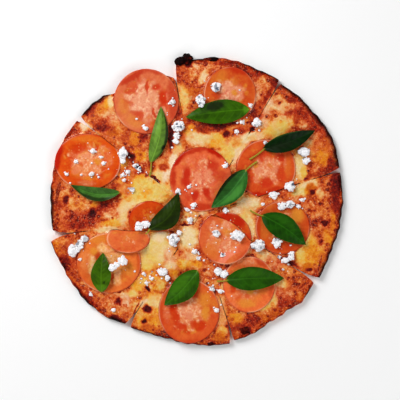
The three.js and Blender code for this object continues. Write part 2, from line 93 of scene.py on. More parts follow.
def layeredNoise(x, y, size, seed, layers=3):
    # Sum of soft noises, each turned a little, half the size and a bit weaker: -1 to 1.
    total, weight, whole = 0, 1.0, 0
    for layer in range(layers):
        total = total + weight * softNoise(x, y, size, seed + 17 * layer)
        whole += weight
        weight *= 0.55
        x, y, size = 0.8 * x - 0.6 * y + 3.7, 0.6 * x + 0.8 * y - 1.9, size * 0.52
    return total / whole


def softNoise3(x, y, z, size, seed):
    # The same in space: two levels of plane noise, joined by a smooth cubic.
    w = z / size
    level = np.floor(w)
    share = w - level
    share = share * share * (3 - 2 * share)
    low = planeNoise(x, y, size, seed, level)
    high = planeNoise(x, y, size, seed, level + 1)
    return 2 * mix(low, high, share) - 1


def scatteredSpots(x, y, size, seed, keep, reach=0.42):
    # One round spot in a share of the square cells, each with its own middle and width.
    # 1 at a spot's middle, 0 at its edge and outside. Also gives each spot's own number.
    best, own = np.zeros(x.shape), np.zeros(x.shape)
    iu, iv = np.floor(x / size), np.floor(y / size)
    for stepX in (-1, 0, 1):
        for stepY in (-1, 0, 1):
            cu, cv = iu + stepX, iv + stepY
            middleX = (cu + 0.2 + 0.6 * cellValue(cu, cv, seed)) * size
            middleY = (cv + 0.2 + 0.6 * cellValue(cu, cv, seed + 1)) * size
            width = size * reach * (0.5 + 0.5 * cellValue(cu, cv, seed + 2))
            strength = 1 - np.hypot(x - middleX, y - middleY) / width
            strength = np.where(cellValue(cu, cv, seed + 3) < keep, strength, 0)
            own = np.where(strength > best, cellValue(cu, cv, seed + 4), own)
            best = np.maximum(best, strength)
    return best, own


def ovalMask(x, y, middleX, middleY, halfX, halfY, turn, soft):
    # 1 well inside an oval turned by an angle, 0 outside, smooth over the soft share of
    # its radius.
    c, s = np.cos(np.radians(turn)), np.sin(np.radians(turn))
    u = ((x - middleX) * c + (y - middleY) * s) / halfX
    v = ((y - middleY) * c - (x - middleX) * s) / halfY
    return 1 - smoothStep(1 - soft, 1 + soft, np.hypot(u, v))


def makePiece(name, points, faces, values, material, replaced=()):
    # Puts points (mm), faces and their float attributes into one smooth-shaded object.
    mesh = bpy.data.meshes.new(name)
    mesh.from_pydata((points * mm).tolist(), [], faces)
    for key, value in values.items():
        layer = mesh.attributes.new(key, "FLOAT", "POINT")
        layer.data.foreach_set("value", np.ascontiguousarray(value, dtype=np.float32))
    mesh.materials.append(material)
    mesh.polygons.foreach_set("use_smooth", np.ones(len(mesh.polygons), dtype=bool))
    mesh.set_sharp_from_angle(angle=np.radians(52))
    mesh.update()
    piece = bpy.data.objects.new(name, mesh)
    bpy.context.scene.collection.objects.link(piece)
    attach(piece, "root")
    if replaced:
        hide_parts(*replaced)


def gridQuads(ids):
    # Four-cornered faces between neighbours of a grid of vertex numbers.
    return np.stack([ids[:-1, :-1], ids[1:, :-1], ids[1:, 1:], ids[:-1, 1:]], -1).reshape(-1, 4)


def ringShell(rings, middleTop, middleBottom):
    # A closed skin round an axis: rings of points from the top's middle out, down the side
    # and back in beneath, closed by a fan at each end. Rings are (ring, step, 3).
    count, steps = rings.shape[:2]
    points = np.concatenate([rings.reshape(-1, 3), [middleTop, middleBottom]])
    ids = np.arange(count * steps).reshape(count, steps)
    ids = np.concatenate([ids, ids[:, :1]], 1)
    faces = gridQuads(ids).tolist()
    top, bottom = count * steps, count * steps + 1
    first, last = ids[0], ids[-1]
    faces += np.stack([np.full(steps, top), first[:-1], first[1:]], -1).tolist()
    faces += np.stack([np.full(steps, bottom), last[1:], last[:-1]], -1).tolist()
    return points, faces


def joinParts(parts):
    # Several (points, faces) as one, with the vertex numbers moved on.
    points, faces, start = [], [], 0
    for partPoints, partFaces in parts:
        points.append(partPoints)
        faces += [[corner + start for corner in face] for face in partFaces]
        start += len(partPoints)
    return np.concatenate(points), faces


slicePlan = {
    "cutCentre": (3, -15),      # where the wheel's cuts meet
    "crustGap": 0.45,           # half the gap between two crusts
    "cheeseGap": 0.2,           # half the gap between two sheets of cheese, on average
    "tipBlunt": 0.2,            # how far a slice's tip is rounded off
    "notchLength": 22,          # how far in a cut opens
    "edgeCrinkle": 0.8,         # how far the outer edge wavers between its corners
    # Courses of the cuts, clockwise from the far left one, as [radius, angle] steps.
    "cutCourses": [
        [[0, 99.8]],
        [[0, 58.9]],
        [[0, 17.8]],
        [[0, 0], [14, -3], [26, -9], [53, -25.7], [81, -27.6], [105, -28.9]],
        [[0, -93.5], [26, -92.5], [53, -81.5], [81, -76], [105, -75]],
        [[0, -123.2]],
        [[0, -142], [14, -142], [26, -150], [53, -164], [81, -170.3], [105, -172.2]],
        [[0, -218.8]],
        [[0, -260.2]],
    ],
    # Half gap of each cut in the cheese, as [radius, mm]: it has run together again in places.
    "cheeseCuts": [
        [[95, 0.03], [103, 0.2], [150, 0.35]],
        [[54, 0.03], [56, 0.35], [62, 0.35], [64, 0.03], [91, 0.03], [93, 0.6], [99, 0.6], [101, 0.05],
         [106, 0.2], [129, 0.3]],
        [[30, 0.03], [31.5, 0.4], [37, 0.4], [39, 0.03], [94, 0.03], [95.5, 0.5], [101, 0.5], [103, 0.05],
         [113, 0.05], [115, 0.35]],
        [[66, 0.03], [68, 0.3], [82, 0.3], [84, 0.05], [94, 0.05], [95, 0.4], [106, 0.4], [130, 0.3]],
        [[78, 0.03], [82, 0.3], [127, 0.4]],
        [[11, 0.2], [13, 0.03], [37, 0.03], [38, 0.4], [45, 0.4], [47, 0.03], [98, 0.03], [101, 0.35]],
        [[11, 0.2], [13, 0.03], [107, 0.03], [110, 0.4]],
        [[49, 0.03], [50, 0.5], [62, 0.5], [64, 0.03], [123, 0.03], [126, 0.2]],
        [[95, 0.03], [103, 0.2], [150, 0.35]],
    ],
    # Outer edge of each slice, as [angle, radius] about the same point, corner to corner.
    "rims": [
        [[59.5, 152.3], [70.9, 152.6], [78.6, 154.4], [83, 153.9], [92.4, 151.1], [99, 148]],
        [[18.8, 143.4], [28.1, 148], [33.6, 149.8], [41.5, 148.8], [48, 150.2], [58.4, 149.9]],
        [[-27.5, 131], [-17.5, 131.5], [-9.3, 134.4], [4.7, 139.2], [17.2, 142.5]],
        [[-74.7, 125.4], [-69.5, 126.1], [-56.8, 123.9], [-47.9, 125.3], [-40.4, 129.7], [-30.4, 128.6]],
        [[-121.8, 127.3], [-110.2, 123.5], [-103, 123.5], [-88.2, 125.9], [-76.6, 127.5]],
        [[-170.1, 146.2], [-156.9, 140.9], [-144.4, 138.4], [-132.8, 134.1], [-124.4, 127.5]],
        [[-217.8, 150.1], [-206, 150.8], [-194.6, 147.6], [-186, 145.1], [-174.2, 142.9]],
        [[-259.5, 135.9], [-257, 139.1], [-235.4, 143.8], [-231.1, 148.8], [-226, 150.4], [-219.7, 149.6]],
    ],
}


def sliceSides(number, radius, gap, notched):
    # Angles of a slice's two cut sides at a radius: the cut's course, moved in by the gap,
    # and near the edge by the notch, which opens with the square of the way out. Without a
    # gap of its own the cheese's cuts are taken.
    rim = slicePlan["rims"][number - 1]
    highCut, lowCut = slicePlan["cutCourses"][number - 1], slicePlan["cutCourses"][number]
    lowGap, highGap = gap, gap
    if gap is None:
        lowGap = stepsAt(slicePlan["cheeseCuts"][number], radius)
        highGap = stepsAt(slicePlan["cheeseCuts"][number - 1], radius)
    low = stepsAt(lowCut, radius) + np.degrees(np.arcsin(np.minimum(1, lowGap / radius)))
    high = stepsAt(highCut, radius) - np.degrees(np.arcsin(np.minimum(1, highGap / radius)))
    if notched:
        length = slicePlan["notchLength"]
        (lowAngle, lowEdge), (highAngle, highEdge) = rim[0], rim[-1]
        lowNotch = lowAngle - stepsAt(lowCut, lowEdge)
        highNotch = stepsAt(highCut, highEdge) - highAngle
        low = low + lowNotch * np.clip((radius - lowEdge + length) / length, 0, 1) ** 2
        high = high - highNotch * np.clip((radius - highEdge + length) / length, 0, 1) ** 2
    return low, high


def edgeRadius(number, share):
    # Radius of a slice's outer edge: its outline, with a small crinkle off its corners.
    rim = slicePlan["rims"][number - 1]
    angle = mix(rim[0][0], rim[-1][0], share)
    crinkle = np.sin(angle * 0.9) * np.sin(angle * 0.37 + number)
    return stepsAt(rim, angle) + slicePlan["edgeCrinkle"] * crinkle * np.sin(np.pi * share)


def slicePoints(number, share, radius, gap):
    # Plan position at a share of the way across the slice and a radius.
    low, high = sliceSides(number, radius, gap, True)
    angle = np.radians(mix(low, high, share))
    centreX, centreY = slicePlan["cutCentre"]
    return centreX + radius * np.cos(angle), centreY + radius * np.sin(angle)


def tipRadius(number, gap):
    # Where the two sides meet: the gap over the sine of half the angle between them.
    courses = slicePlan["cutCourses"]
    spread = np.radians(courses[number - 1][0][1] - courses[number][0][1])
    return gap / np.sin(spread / 2) + slicePlan["tipBlunt"]


def polarAt(x, y):
    # Distance from where the cuts meet, of 0.5 mm or more, and direction in degrees.
    centreX, centreY = slicePlan["cutCentre"]
    radius = np.maximum(np.hypot(x - centreX, y - centreY), 0.5)
    return radius, np.degrees(np.arctan2(y - centreY, x - centreX))


def placeInSlices(x, y):
    # For plan points: the number of the slice each lies on, and how far in from its edge.
    radius, raw = polarAt(x, y)
    number, inset = np.zeros(x.shape, int), np.full(x.shape, 99.0)
    for n in range(1, 9):
        low, high = sliceSides(n, radius, 0, False)
        middle = (low + high) / 2
        angle = raw + 360 * np.round((middle - raw) / 360)
        share = (angle - low) / (high - low)
        here = (share >= 0) & (share <= 1)
        number = np.where(here, n, number)
        inset = np.where(here, edgeRadius(n, np.clip(share, 0, 1)) - radius, inset)
    return number, inset


def insideSlice(number, x, y, gap):
    # Whether plan points lie between the two cut sides of a slice.
    radius, raw = polarAt(x, y)
    low, high = sliceSides(number, radius, gap, False)
    angle = raw + 360 * np.round(((low + high) / 2 - raw) / 360)
    return (angle > low) & (angle < high)


tomatoForm = {
    "base": 5.3, "thick": 3.2,
    "leanSlack": 0.5,           # gap under a slice that leans on another
    "skin": 1.2, "edgeRound": 0.8,
    "directions": 240, "flatRings": 65, "roundRings": 4,
}

# On: the pizza slice it lies on (0: it bridges cuts). Pole: a point inside what is left of
# it. Marks: what stands out on its face, as (kind, x, y, half length, half width, turn,
# strength). Pale marks are pale flesh, partly painted highlight; a few dark marks, noted
# where they stand, are painted shadow.
tomatoSlices = [
    {"on": 8, "x": -48.3, "y": 95.1, "rx": 31.3, "ry": 31.4, "turn": 10, "pole": (-50, 98),
     "pockets": 7, "core": 0.4, "gel": 0.4, "wall": (222, 112, 70), "coreTone": (242, 168, 130),
     "gelTone": (208, 60, 34), "marks": [
        ("core", -48.6, 95.5, 11.6, 9.7, 10, 0.95), ("core", -41.9, 111, 2.9, 4.8, -15, 0.8),
        ("core", -51.5, 108.1, 2.4, 4.8, 0, 0.7), ("core", -62.1, 98.4, 4.8, 3.9, 0, 0.6),
        ("core", -40.9, 89.7, 3.9, 6.8, 20, 0.8), ("core", -46.7, 79.1, 4.8, 5.8, 0, 0.6),
        ("paleFleshAndHighlight", -51.5, 97.5, 2.9, 5.8, 0, 0.5), ("paleFleshAndHighlight", -42.8, 97.5, 2.9, 5.8, 0, 0.4),
        ("paleFleshAndHighlight", -59.3, 95.5, 2.9, 2.9, 0, 0.5), ("gel", -47.2, 109, 1.5, 5.8, 0, 0.9),
        ("gel", -39, 109, 3.9, 3.4, 0, 0.95), ("gel", -32.2, 98.4, 3.9, 6.8, 0, 1),
        ("gold", -69.9, 89.7, 5.8, 7.7, 0, 0.6), ("gold", -59.3, 75.3, 9.7, 4.8, -25, 0.6),
        ("gel", -63.1, 93.6, 2.9, 1.9, 0, 0.6), ("gel", -57.3, 84, 4.8, 2.9, 0, 0.75),
        ("gel", -52.5, 82, 1.5, 3.9, 0, 0.6), ("gel", -40.9, 84, 1.4, 5.8, 25, 0.9),
        ("darkAndPaintedShade", -22.6, 94.6, 4.8, 26.1, 3, 0.8), ("darkAndPaintedShade", -61.2, 118.7, 14.5, 2.9, 30, 0.9),
        ("darkAndPaintedShade", -37.1, 124, 12.5, 2.9, -12, 0.8), ("darkAndPaintedShade", -40, 66.6, 7.7, 3.9, 0, 0.72),
     ]},
    {"on": 1, "x": 32.4, "y": 101.8, "rx": 25.1, "ry": 26.5, "turn": 35, "pole": (32.4, 101.8),
     "pockets": 6, "core": 0.4, "gel": 0.25, "wall": (212, 90, 42), "coreTone": (238, 158, 122),
     "gelTone": (200, 66, 34), "marks": [
        ("core", 28.6, 108.1, 4.8, 5.8, 0, 0.95), ("core", 30.5, 100.4, 5.8, 3.9, 0, 0.8),
        ("core", 43, 100.4, 2.9, 3.9, 0, 0.7), ("paleFleshAndHighlight", 28.6, 109, 2.4, 2.9, 0, 0.5),
        ("gold", 36.3, 103.3, 2.9, 2.9, 0, 0.9), ("gold", 24.7, 118.7, 4.8, 5.8, 0, 0.6),
        ("gold", 36.3, 113.9, 3.9, 4.8, 0, 0.5), ("gold", 17, 111.9, 3.9, 7.7, 0, 0.4),
        ("darkAndPaintedShade", 40.1, 125.5, 12.5, 3.9, -15, 0.87), ("darkAndPaintedShade", 51.7, 115.8, 2.9, 9.7, 0, 0.52),
        ("darkAndPaintedShade", 19.9, 100.8, 4.8, 2.3, 0, 0.72), ("gel", 49.8, 95.5, 4.8, 2.9, 0, 0.7),
     ]},
    {"on": 7, "x": -104.6, "y": 36.7, "rx": 31.8, "ry": 27, "turn": 0, "pole": (-104.6, 36.7),
     "pockets": 8, "core": 0.45, "gel": 0.45, "wall": (224, 86, 32), "coreTone": (242, 158, 106),
     "gelTone": (206, 58, 22), "marks": [
        ("darkAndPaintedShade", -134, 39.6, 3.7, 18.3, -14, 1), ("gold", -106.5, 58.9, 15.4, 2.9, 0, 0.5),
        ("gel", -115.2, 49.2, 6.8, 3.9, 0, 0.9), ("gel", -119.1, 43.4, 3.9, 3.9, 0, 0.6),
        ("gel", -106.5, 51.1, 3.9, 2.4, 0, 0.5), ("core", -105.6, 40.5, 5.8, 4.8, 0, 0.8),
        ("paleFleshAndHighlight", -106.5, 42.9, 3.9, 1.9, 0, 0.5), ("core", -107.5, 28.9, 8.7, 7.7, 0, 0.6),
        ("core", -100.7, 32.8, 5.8, 4.8, 0, 0.6), ("gold", -95, 36.7, 3.9, 3.4, 0, 0.9),
        ("gold", -115.2, 25.1, 4.8, 3.9, 0, 0.6), ("gold", -102.7, 21.2, 6.8, 2.4, 0, 0.7),
        ("gel", -117.2, 21.2, 3.9, 2.9, 0, 0.4), ("paleFleshAndHighlight", -116.2, 28, 3.9, 2.9, 0, 0.35),
        ("core", -105.6, 16.4, 7.7, 2.4, 0, 0.6), ("gel", -89.2, 29.9, 2.9, 1.5, -20, 0.7),
        ("gel", -111.4, 34.7, 2.9, 1.9, -40, 0.5), ("core", -85.3, 40.5, 4.8, 8.7, 0, 0.4),
        ("darkAndPaintedShade", -95.9, 62.7, 13.5, 1.5, -12, 0.62), ("darkAndPaintedShade", -79.5, 23.2, 2.4, 9.7, -20, 0.52),
     ]},
    {"on": 0, "x": 4.4, "y": 19.8, "rx": 29.9, "ry": 30.9, "turn": 30, "pole": (4.4, 19.8),
     "pockets": 6, "core": 0.34, "gel": 0.6, "wall": (234, 106, 62), "coreTone": (234, 128, 92),
     "gelTone": (202, 54, 36), "marks": [
        ("darkAndPaintedShade", -2.3, 47.8, 13.5, 2.9, 14, 0.9), ("darkAndPaintedShade", 17.9, 45.8, 11.6, 2.9, -28, 1),
        ("darkAndPaintedShade", -17.3, 38.6, 2.9, 10.6, -38, 1), ("darkAndPaintedShade", -22.1, 21.2, 2.9, 10.6, 0, 0.9),
        ("gold", -16.8, 21.2, 2.9, 8.7, 0, 0.3), ("core", -6.2, 38.6, 8.7, 3.9, 25, 0.35),
        ("gel", -9.1, 21.2, 3.7, 11.6, 0, 1), ("gel", 0.1, 35.7, 1.4, 4.8, 0, 0.6),
        ("core", 6.4, 33.8, 4.3, 7.7, 0, 0.75), ("gel", 17, 31.8, 5.3, 6.3, 0, 0.9),
        ("gel", 23.7, 25.1, 5.8, 3.9, 0, 0.8), ("core", 5.4, 20.3, 10.1, 8.7, 0, 0.95),
        ("paleFleshAndHighlight", 1.5, 21.2, 3.9, 4.8, 0, 0.45), ("paleFleshAndHighlight", 11.2, 24.1, 3.9, 4.8, 0, 0.45),
        ("gel", -1.4, 4.8, 4.8, 4.8, 0, 1), ("gel", 10.2, 7.2, 3.9, 4.8, 0, 1),
        ("core", 5.4, 2.9, 2.5, 5.8, 0, 0.6), ("gel", -10, 4.8, 3.9, 5.8, 20, 0.7),
        ("darkAndPaintedShade", 6.4, -6.8, 10.6, 3.9, 0, 0.87), ("darkAndPaintedShade", -12, -2.9, 2.9, 5.8, 30, 0.62),
     ]},
    {"on": 2, "x": 67.1, "y": 30.2, "rx": 28.6, "ry": 28, "turn": 5, "pole": (68, 33),
     "pockets": 6, "core": 0.35, "gel": 0.7, "wall": (218, 86, 42), "coreTone": (244, 158, 112),
     "gelTone": (206, 56, 36), "marks": [
        ("darkAndPaintedShade", 51.7, 53.1, 11.6, 2.5, 38, 0.6), ("gel", 63.3, 40.5, 3.9, 5.8, 0, 0.8),
        ("gel", 69.1, 44.4, 4.8, 3.9, 0, 0.7), ("core", 66.2, 38.6, 1.9, 3.9, 0, 0.5),
        ("core", 76.8, 35.7, 3.9, 3.9, 0, 0.8), ("gel", 80.7, 41.5, 3.9, 3.9, 0, 0.85),
        ("gel", 51.7, 25.1, 3.3, 8.7, 5, 0.8), ("core", 65.2, 28.9, 10.6, 6.8, 0, 0.75),
        ("paleFleshAndHighlight", 59.4, 28, 3.4, 3.9, 0, 0.4), ("paleFleshAndHighlight", 75.8, 28.9, 2.9, 2.9, 0, 0.35),
        ("gold", 57.5, 33.3, 2.3, 2.3, 0, 0.8), ("gold", 71, 32.8, 2.9, 1.9, 0, 0.6),
        ("core", 58, 20.3, 3.3, 4.3, 30, 0.7), ("gel", 67.2, 16.4, 5.8, 5.3, 0, 0.9),
        ("gel", 81.6, 25.1, 3.9, 7.7, -10, 0.7), ("core", 85.5, 35.7, 1.7, 5.8, 0, 0.6),
        ("gold", 88.4, 30.9, 2.9, 9.7, 0, 0.3), ("darkAndPaintedShade", 59.4, 4.8, 14.5, 3.3, 0, 0.97),
        ("darkAndPaintedShade", 46.9, 12.5, 3.3, 6.8, 35, 0.82), ("darkAndPaintedShade", 75.8, 9.7, 8.7, 2.9, 10, 0.82),
     ]},
    {"on": 3, "x": 27.6, "y": -36.7, "rx": 25.5, "ry": 25.1, "turn": 20, "pole": (42, -26),
     "pockets": 6, "core": 0.35, "gel": 0.6, "wall": (204, 66, 34), "coreTone": (232, 136, 104),
     "gelTone": (188, 42, 26), "marks": [
        ("gel", 38.2, -21.2, 8.7, 6.8, -15, 0.9), ("darkAndPaintedShade", 28.6, -16.4, 5.8, 3.9, 0, 0.92),
        # The last mark on the next line is painted shadow along the slice's cut edge.
        ("darkAndPaintedShade", 11.2, -10.6, 6.8, 2.9, -10, 0.92), ("darkAndPaintedShade", 47.9, -34.7, 4.8, 1.9, -45, 0.72),
        ("gold", 50.8, -21.2, 3.9, 8.7, 0, 0.5),
     ]},
    {"on": 4, "x": 27.6, "y": -36.7, "rx": 25.5, "ry": 25.1, "turn": 20, "leansOn": 12, "pole": (24, -42),
     "pockets": 6, "core": 0.5, "gel": 0.15, "wall": (226, 106, 58), "coreTone": (236, 142, 100),
     "gelTone": (214, 78, 34), "marks": [
        ("core", 29, -24.1, 4.3, 4.3, 0, 0.95), ("paleFleshAndHighlight", 28.6, -23.2, 2.9, 2.9, 0, 0.4),
        ("gold", 28.6, -30.9, 4.8, 3.9, 0, 0.7), ("gel", 23.7, -33.8, 2.9, 3.9, 0, 0.5),
        ("gold", 14.1, -48.2, 7.7, 7.7, 0, 0.5), ("core", 30.5, -43.4, 8.7, 4.8, 10, 0.7),
        ("paleFleshAndHighlight", 26.6, -41.5, 2.9, 1.9, 0, 0.4), ("gold", 20.8, -39.6, 3.9, 3.9, 0, 0.5),
        ("darkAndPaintedShade", 45.9, -52.1, 10.6, 2.3, 42, 0.62), ("gel", 46.9, -39.6, 5.8, 2.9, -30, 0.5),
        ("darkAndPaintedShade", 16, -16.4, 7.7, 2.9, 20, 0.52),
     ]},
    {"on": 7, "x": -44.8, "y": -20.3, "rx": 20.3, "ry": 19.3, "turn": 0, "pole": (-46, -12),
     "pockets": 5, "core": 0.1, "gel": 0.1, "wall": (214, 76, 32), "coreTone": (214, 84, 40),
     "gelTone": (190, 58, 24), "marks": []},
    {"on": 6, "x": -65.5, "y": -37.2, "rx": 20.7, "ry": 13.8, "turn": 15, "leansOn": 10, "pole": (-63, -37),
     "pockets": 5, "core": 0.15, "gel": 0.1, "wall": (232, 112, 60), "coreTone": (232, 124, 66),
     "gelTone": (208, 70, 34), "marks": [
        ("gold", -64.1, -35.7, 7.7, 3.9, 0, 0.3), ("gel", -69.9, -47.3, 15.4, 2.4, 10, 0.5),
     ]},
    {"on": 6, "x": -84.3, "y": -60.8, "rx": 30.9, "ry": 28.9, "turn": 40, "pole": (-84.3, -60.8),
     "pockets": 6, "core": 0.4, "gel": 0.35, "wall": (232, 116, 54), "coreTone": (246, 188, 116),
     "gelTone": (204, 58, 26), "marks": [
        ("gold", -94, -37.6, 7.7, 4.8, 0, 0.7), ("gold", -98.8, -49.2, 3.9, 3.9, 0, 0.9),
        ("core", -90.1, -46.3, 4.8, 4.3, 0, 1), ("gel", -95, -55, 3.3, 3.9, 0, 0.85),
        ("core", -100.7, -63.7, 3.7, 8.7, 0, 1), ("core", -108.5, -59.8, 3.9, 8.7, 0, 0.3),
        ("darkAndPaintedShade", -113.3, -61.8, 1.9, 13.5, 5, 0.57), ("gel", -109.4, -75.3, 4.8, 6.8, 0, 0.45),
        ("core", -76.1, -73.3, 3.7, 7.7, 0, 1), ("paleFleshAndHighlight", -76.6, -72.4, 2.3, 5.8, 0, 0.55),
        ("gel", -81.4, -74.3, 1.9, 4.8, 0, 0.9), ("gold", -66, -66.6, 6.8, 7.7, 0, 0.65),
        ("darkAndPaintedShade", -55.4, -59.8, 2.1, 11.6, 0, 0.72), ("darkAndPaintedShade", -93, -31.8, 11.6, 1.5, 5, 0.52),
        ("gel", -88.2, -85.9, 8.7, 2.9, 0, 0.5),
     ]},
    {"on": 5, "x": -7.1, "y": -107.1, "rx": 29.4, "ry": 30.9, "turn": 25, "pole": (-7, -108),
     "pockets": 7, "core": 0.36, "gel": 0.6, "wall": (222, 92, 46), "coreTone": (242, 158, 112),
     "gelTone": (206, 56, 30), "marks": [
        ("darkAndPaintedShade", -34.2, -109, 2.3, 15.4, 5, 0.62), ("core", -28.4, -108.1, 3.5, 7.7, 0, 0.4),
        ("gel", -22.6, -103.3, 3.3, 5.8, 0, 1), ("gel", -19.7, -113.9, 3.9, 6.8, 15, 0.9),
        ("gel", -13.9, -121.6, 4.8, 3.9, 0, 0.85), ("gel", -3.3, -118.7, 3.3, 5.3, 0, 0.8),
        ("core", -12.9, -106.1, 4.2, 6.8, 0, 0.95), ("core", -6.2, -108.1, 7.7, 6.8, 0, 0.9),
        ("core", -1.4, -100.4, 3.9, 4.8, 0, 0.6), ("core", -10.5, -116.8, 3.9, 2.9, 0, 0.8),
        ("paleFleshAndHighlight", -12.9, -104.2, 2.5, 3.9, 0, 0.5), ("paleFleshAndHighlight", -6.2, -111, 3.9, 3.9, 0, 0.35),
        ("gel", 3.5, -113.4, 2.9, 2.3, 0, 0.6), ("gold", 8.3, -96.5, 5.8, 7.7, 0, 0.8),
        ("gold", 8.3, -109, 4.3, 6.8, 0, 0.9), ("gold", 17.9, -101.3, 3.9, 5.8, 0, 0.6),
        # The first mark on the next line is painted shadow of basil leaf 9.
        ("darkAndPaintedShade", -2.3, -88.8, 3.9, 4.8, 0, 0.92), ("darkAndPaintedShade", -12, -99.4, 5.8, 2.3, 0, 0.52),
        ("darkAndPaintedShade", 10.2, -79.1, 7.7, 2.1, -15, 0.72), ("darkAndPaintedShade", -6.2, -136.1, 15.4, 1.9, 0, 0.62),
        ("darkAndPaintedShade", -27.4, -127.4, 7.7, 2.1, -42, 0.52),
     ]},
    {"on": 4, "x": 50.8, "y": -81.5, "rx": 25.1, "ry": 27, "turn": 12, "pole": (50.8, -81.5),
     "pockets": 6, "core": 0.4, "gel": 0.3, "wall": (240, 112, 58), "coreTone": (240, 156, 104),
     "gelTone": (206, 62, 28), "marks": [
        ("core", 48.8, -58.9, 9.7, 3.9, 0, 0.6), ("darkAndPaintedShade", 62.3, -59.8, 7.7, 2.3, -38, 0.77),
        ("gel", 35.8, -84.9, 3.3, 4.8, 0, 0.9), ("core", 36.3, -92.6, 4.8, 2.9, 30, 0.5),
        ("gold", 51.7, -88.3, 3.9, 2.9, 0, 0.95), ("gel", 48.8, -92.6, 3.3, 2.1, 0, 0.7),
        ("gold", 63.3, -87.8, 4.8, 2.9, 0, 0.5), ("gold", 47.9, -99.4, 8.7, 4.3, 0, 0.8),
        ("core", 36.3, -101.3, 3.9, 3.9, 0, 0.4), ("darkAndPaintedShade", 72, -85.9, 1.9, 8.7, -8, 0.62),
        ("gold", 57.5, -94.6, 3.9, 4.8, 0, 0.4),
     ]},
    {"on": 3, "x": 83.2, "y": -26.5, "rx": 26.1, "ry": 25.6, "turn": 50, "pole": (84, -22),
     "pockets": 6, "core": 0.4, "gel": 0.2, "wall": (210, 86, 40), "coreTone": (224, 126, 64),
     "gelTone": (200, 68, 32), "marks": [
        ("gold", 65.2, -27, 4.8, 9.7, 0, 0.35), ("darkAndPaintedShade", 59.9, -24.1, 2.3, 17.4, 0, 0.72),
        ("gold", 69.1, -4.8, 4.8, 3.9, 0, 0.4), ("core", 87.4, -12.5, 5.8, 2.3, -25, 0.7),
        ("gold", 97.1, -15.4, 5.8, 7.7, -20, 0.9), ("darkAndPaintedShade", 83.6, -45.4, 10.6, 3.9, 0, 0.72),
        ("darkAndPaintedShade", 66.2, -46.3, 5.8, 2.9, -30, 0.82), ("gel", 102.9, -34.7, 3.9, 7.7, 20, 0.5),
     ]},
]


def tomatoRatio(tomato, x, y):
    # Distance from the middle as a share of the oval's radius in that direction.
    return np.hypot((x - tomato["x"]) / tomato["rx"], (y - tomato["y"]) / tomato["ry"])


def tomatoLean(tomato, x, y):
    # Lift of a slice that lies partly on another: full over it, then less over 9 mm beside.
    if "leansOn" not in tomato:
        return np.zeros(np.shape(x))
    under = tomatoSlices[tomato["leansOn"] - 1]
    outside = (tomatoRatio(under, x, y) - 1) * min(under["rx"], under["ry"])
    lift = tomatoForm["thick"] + tomatoForm["leanSlack"]
    return lift * smoothStep(0, 1, 1 - (outside - 4) / 9)


def tomatoCovers(tomato, x, y):
    # Whether plan points lie on a tomato slice, as the wheel has left it.
    inside = tomatoRatio(tomato, x, y) < 1
    if tomato["on"]:
        inside &= insideSlice(tomato["on"], x, y, 0.15)
    return inside


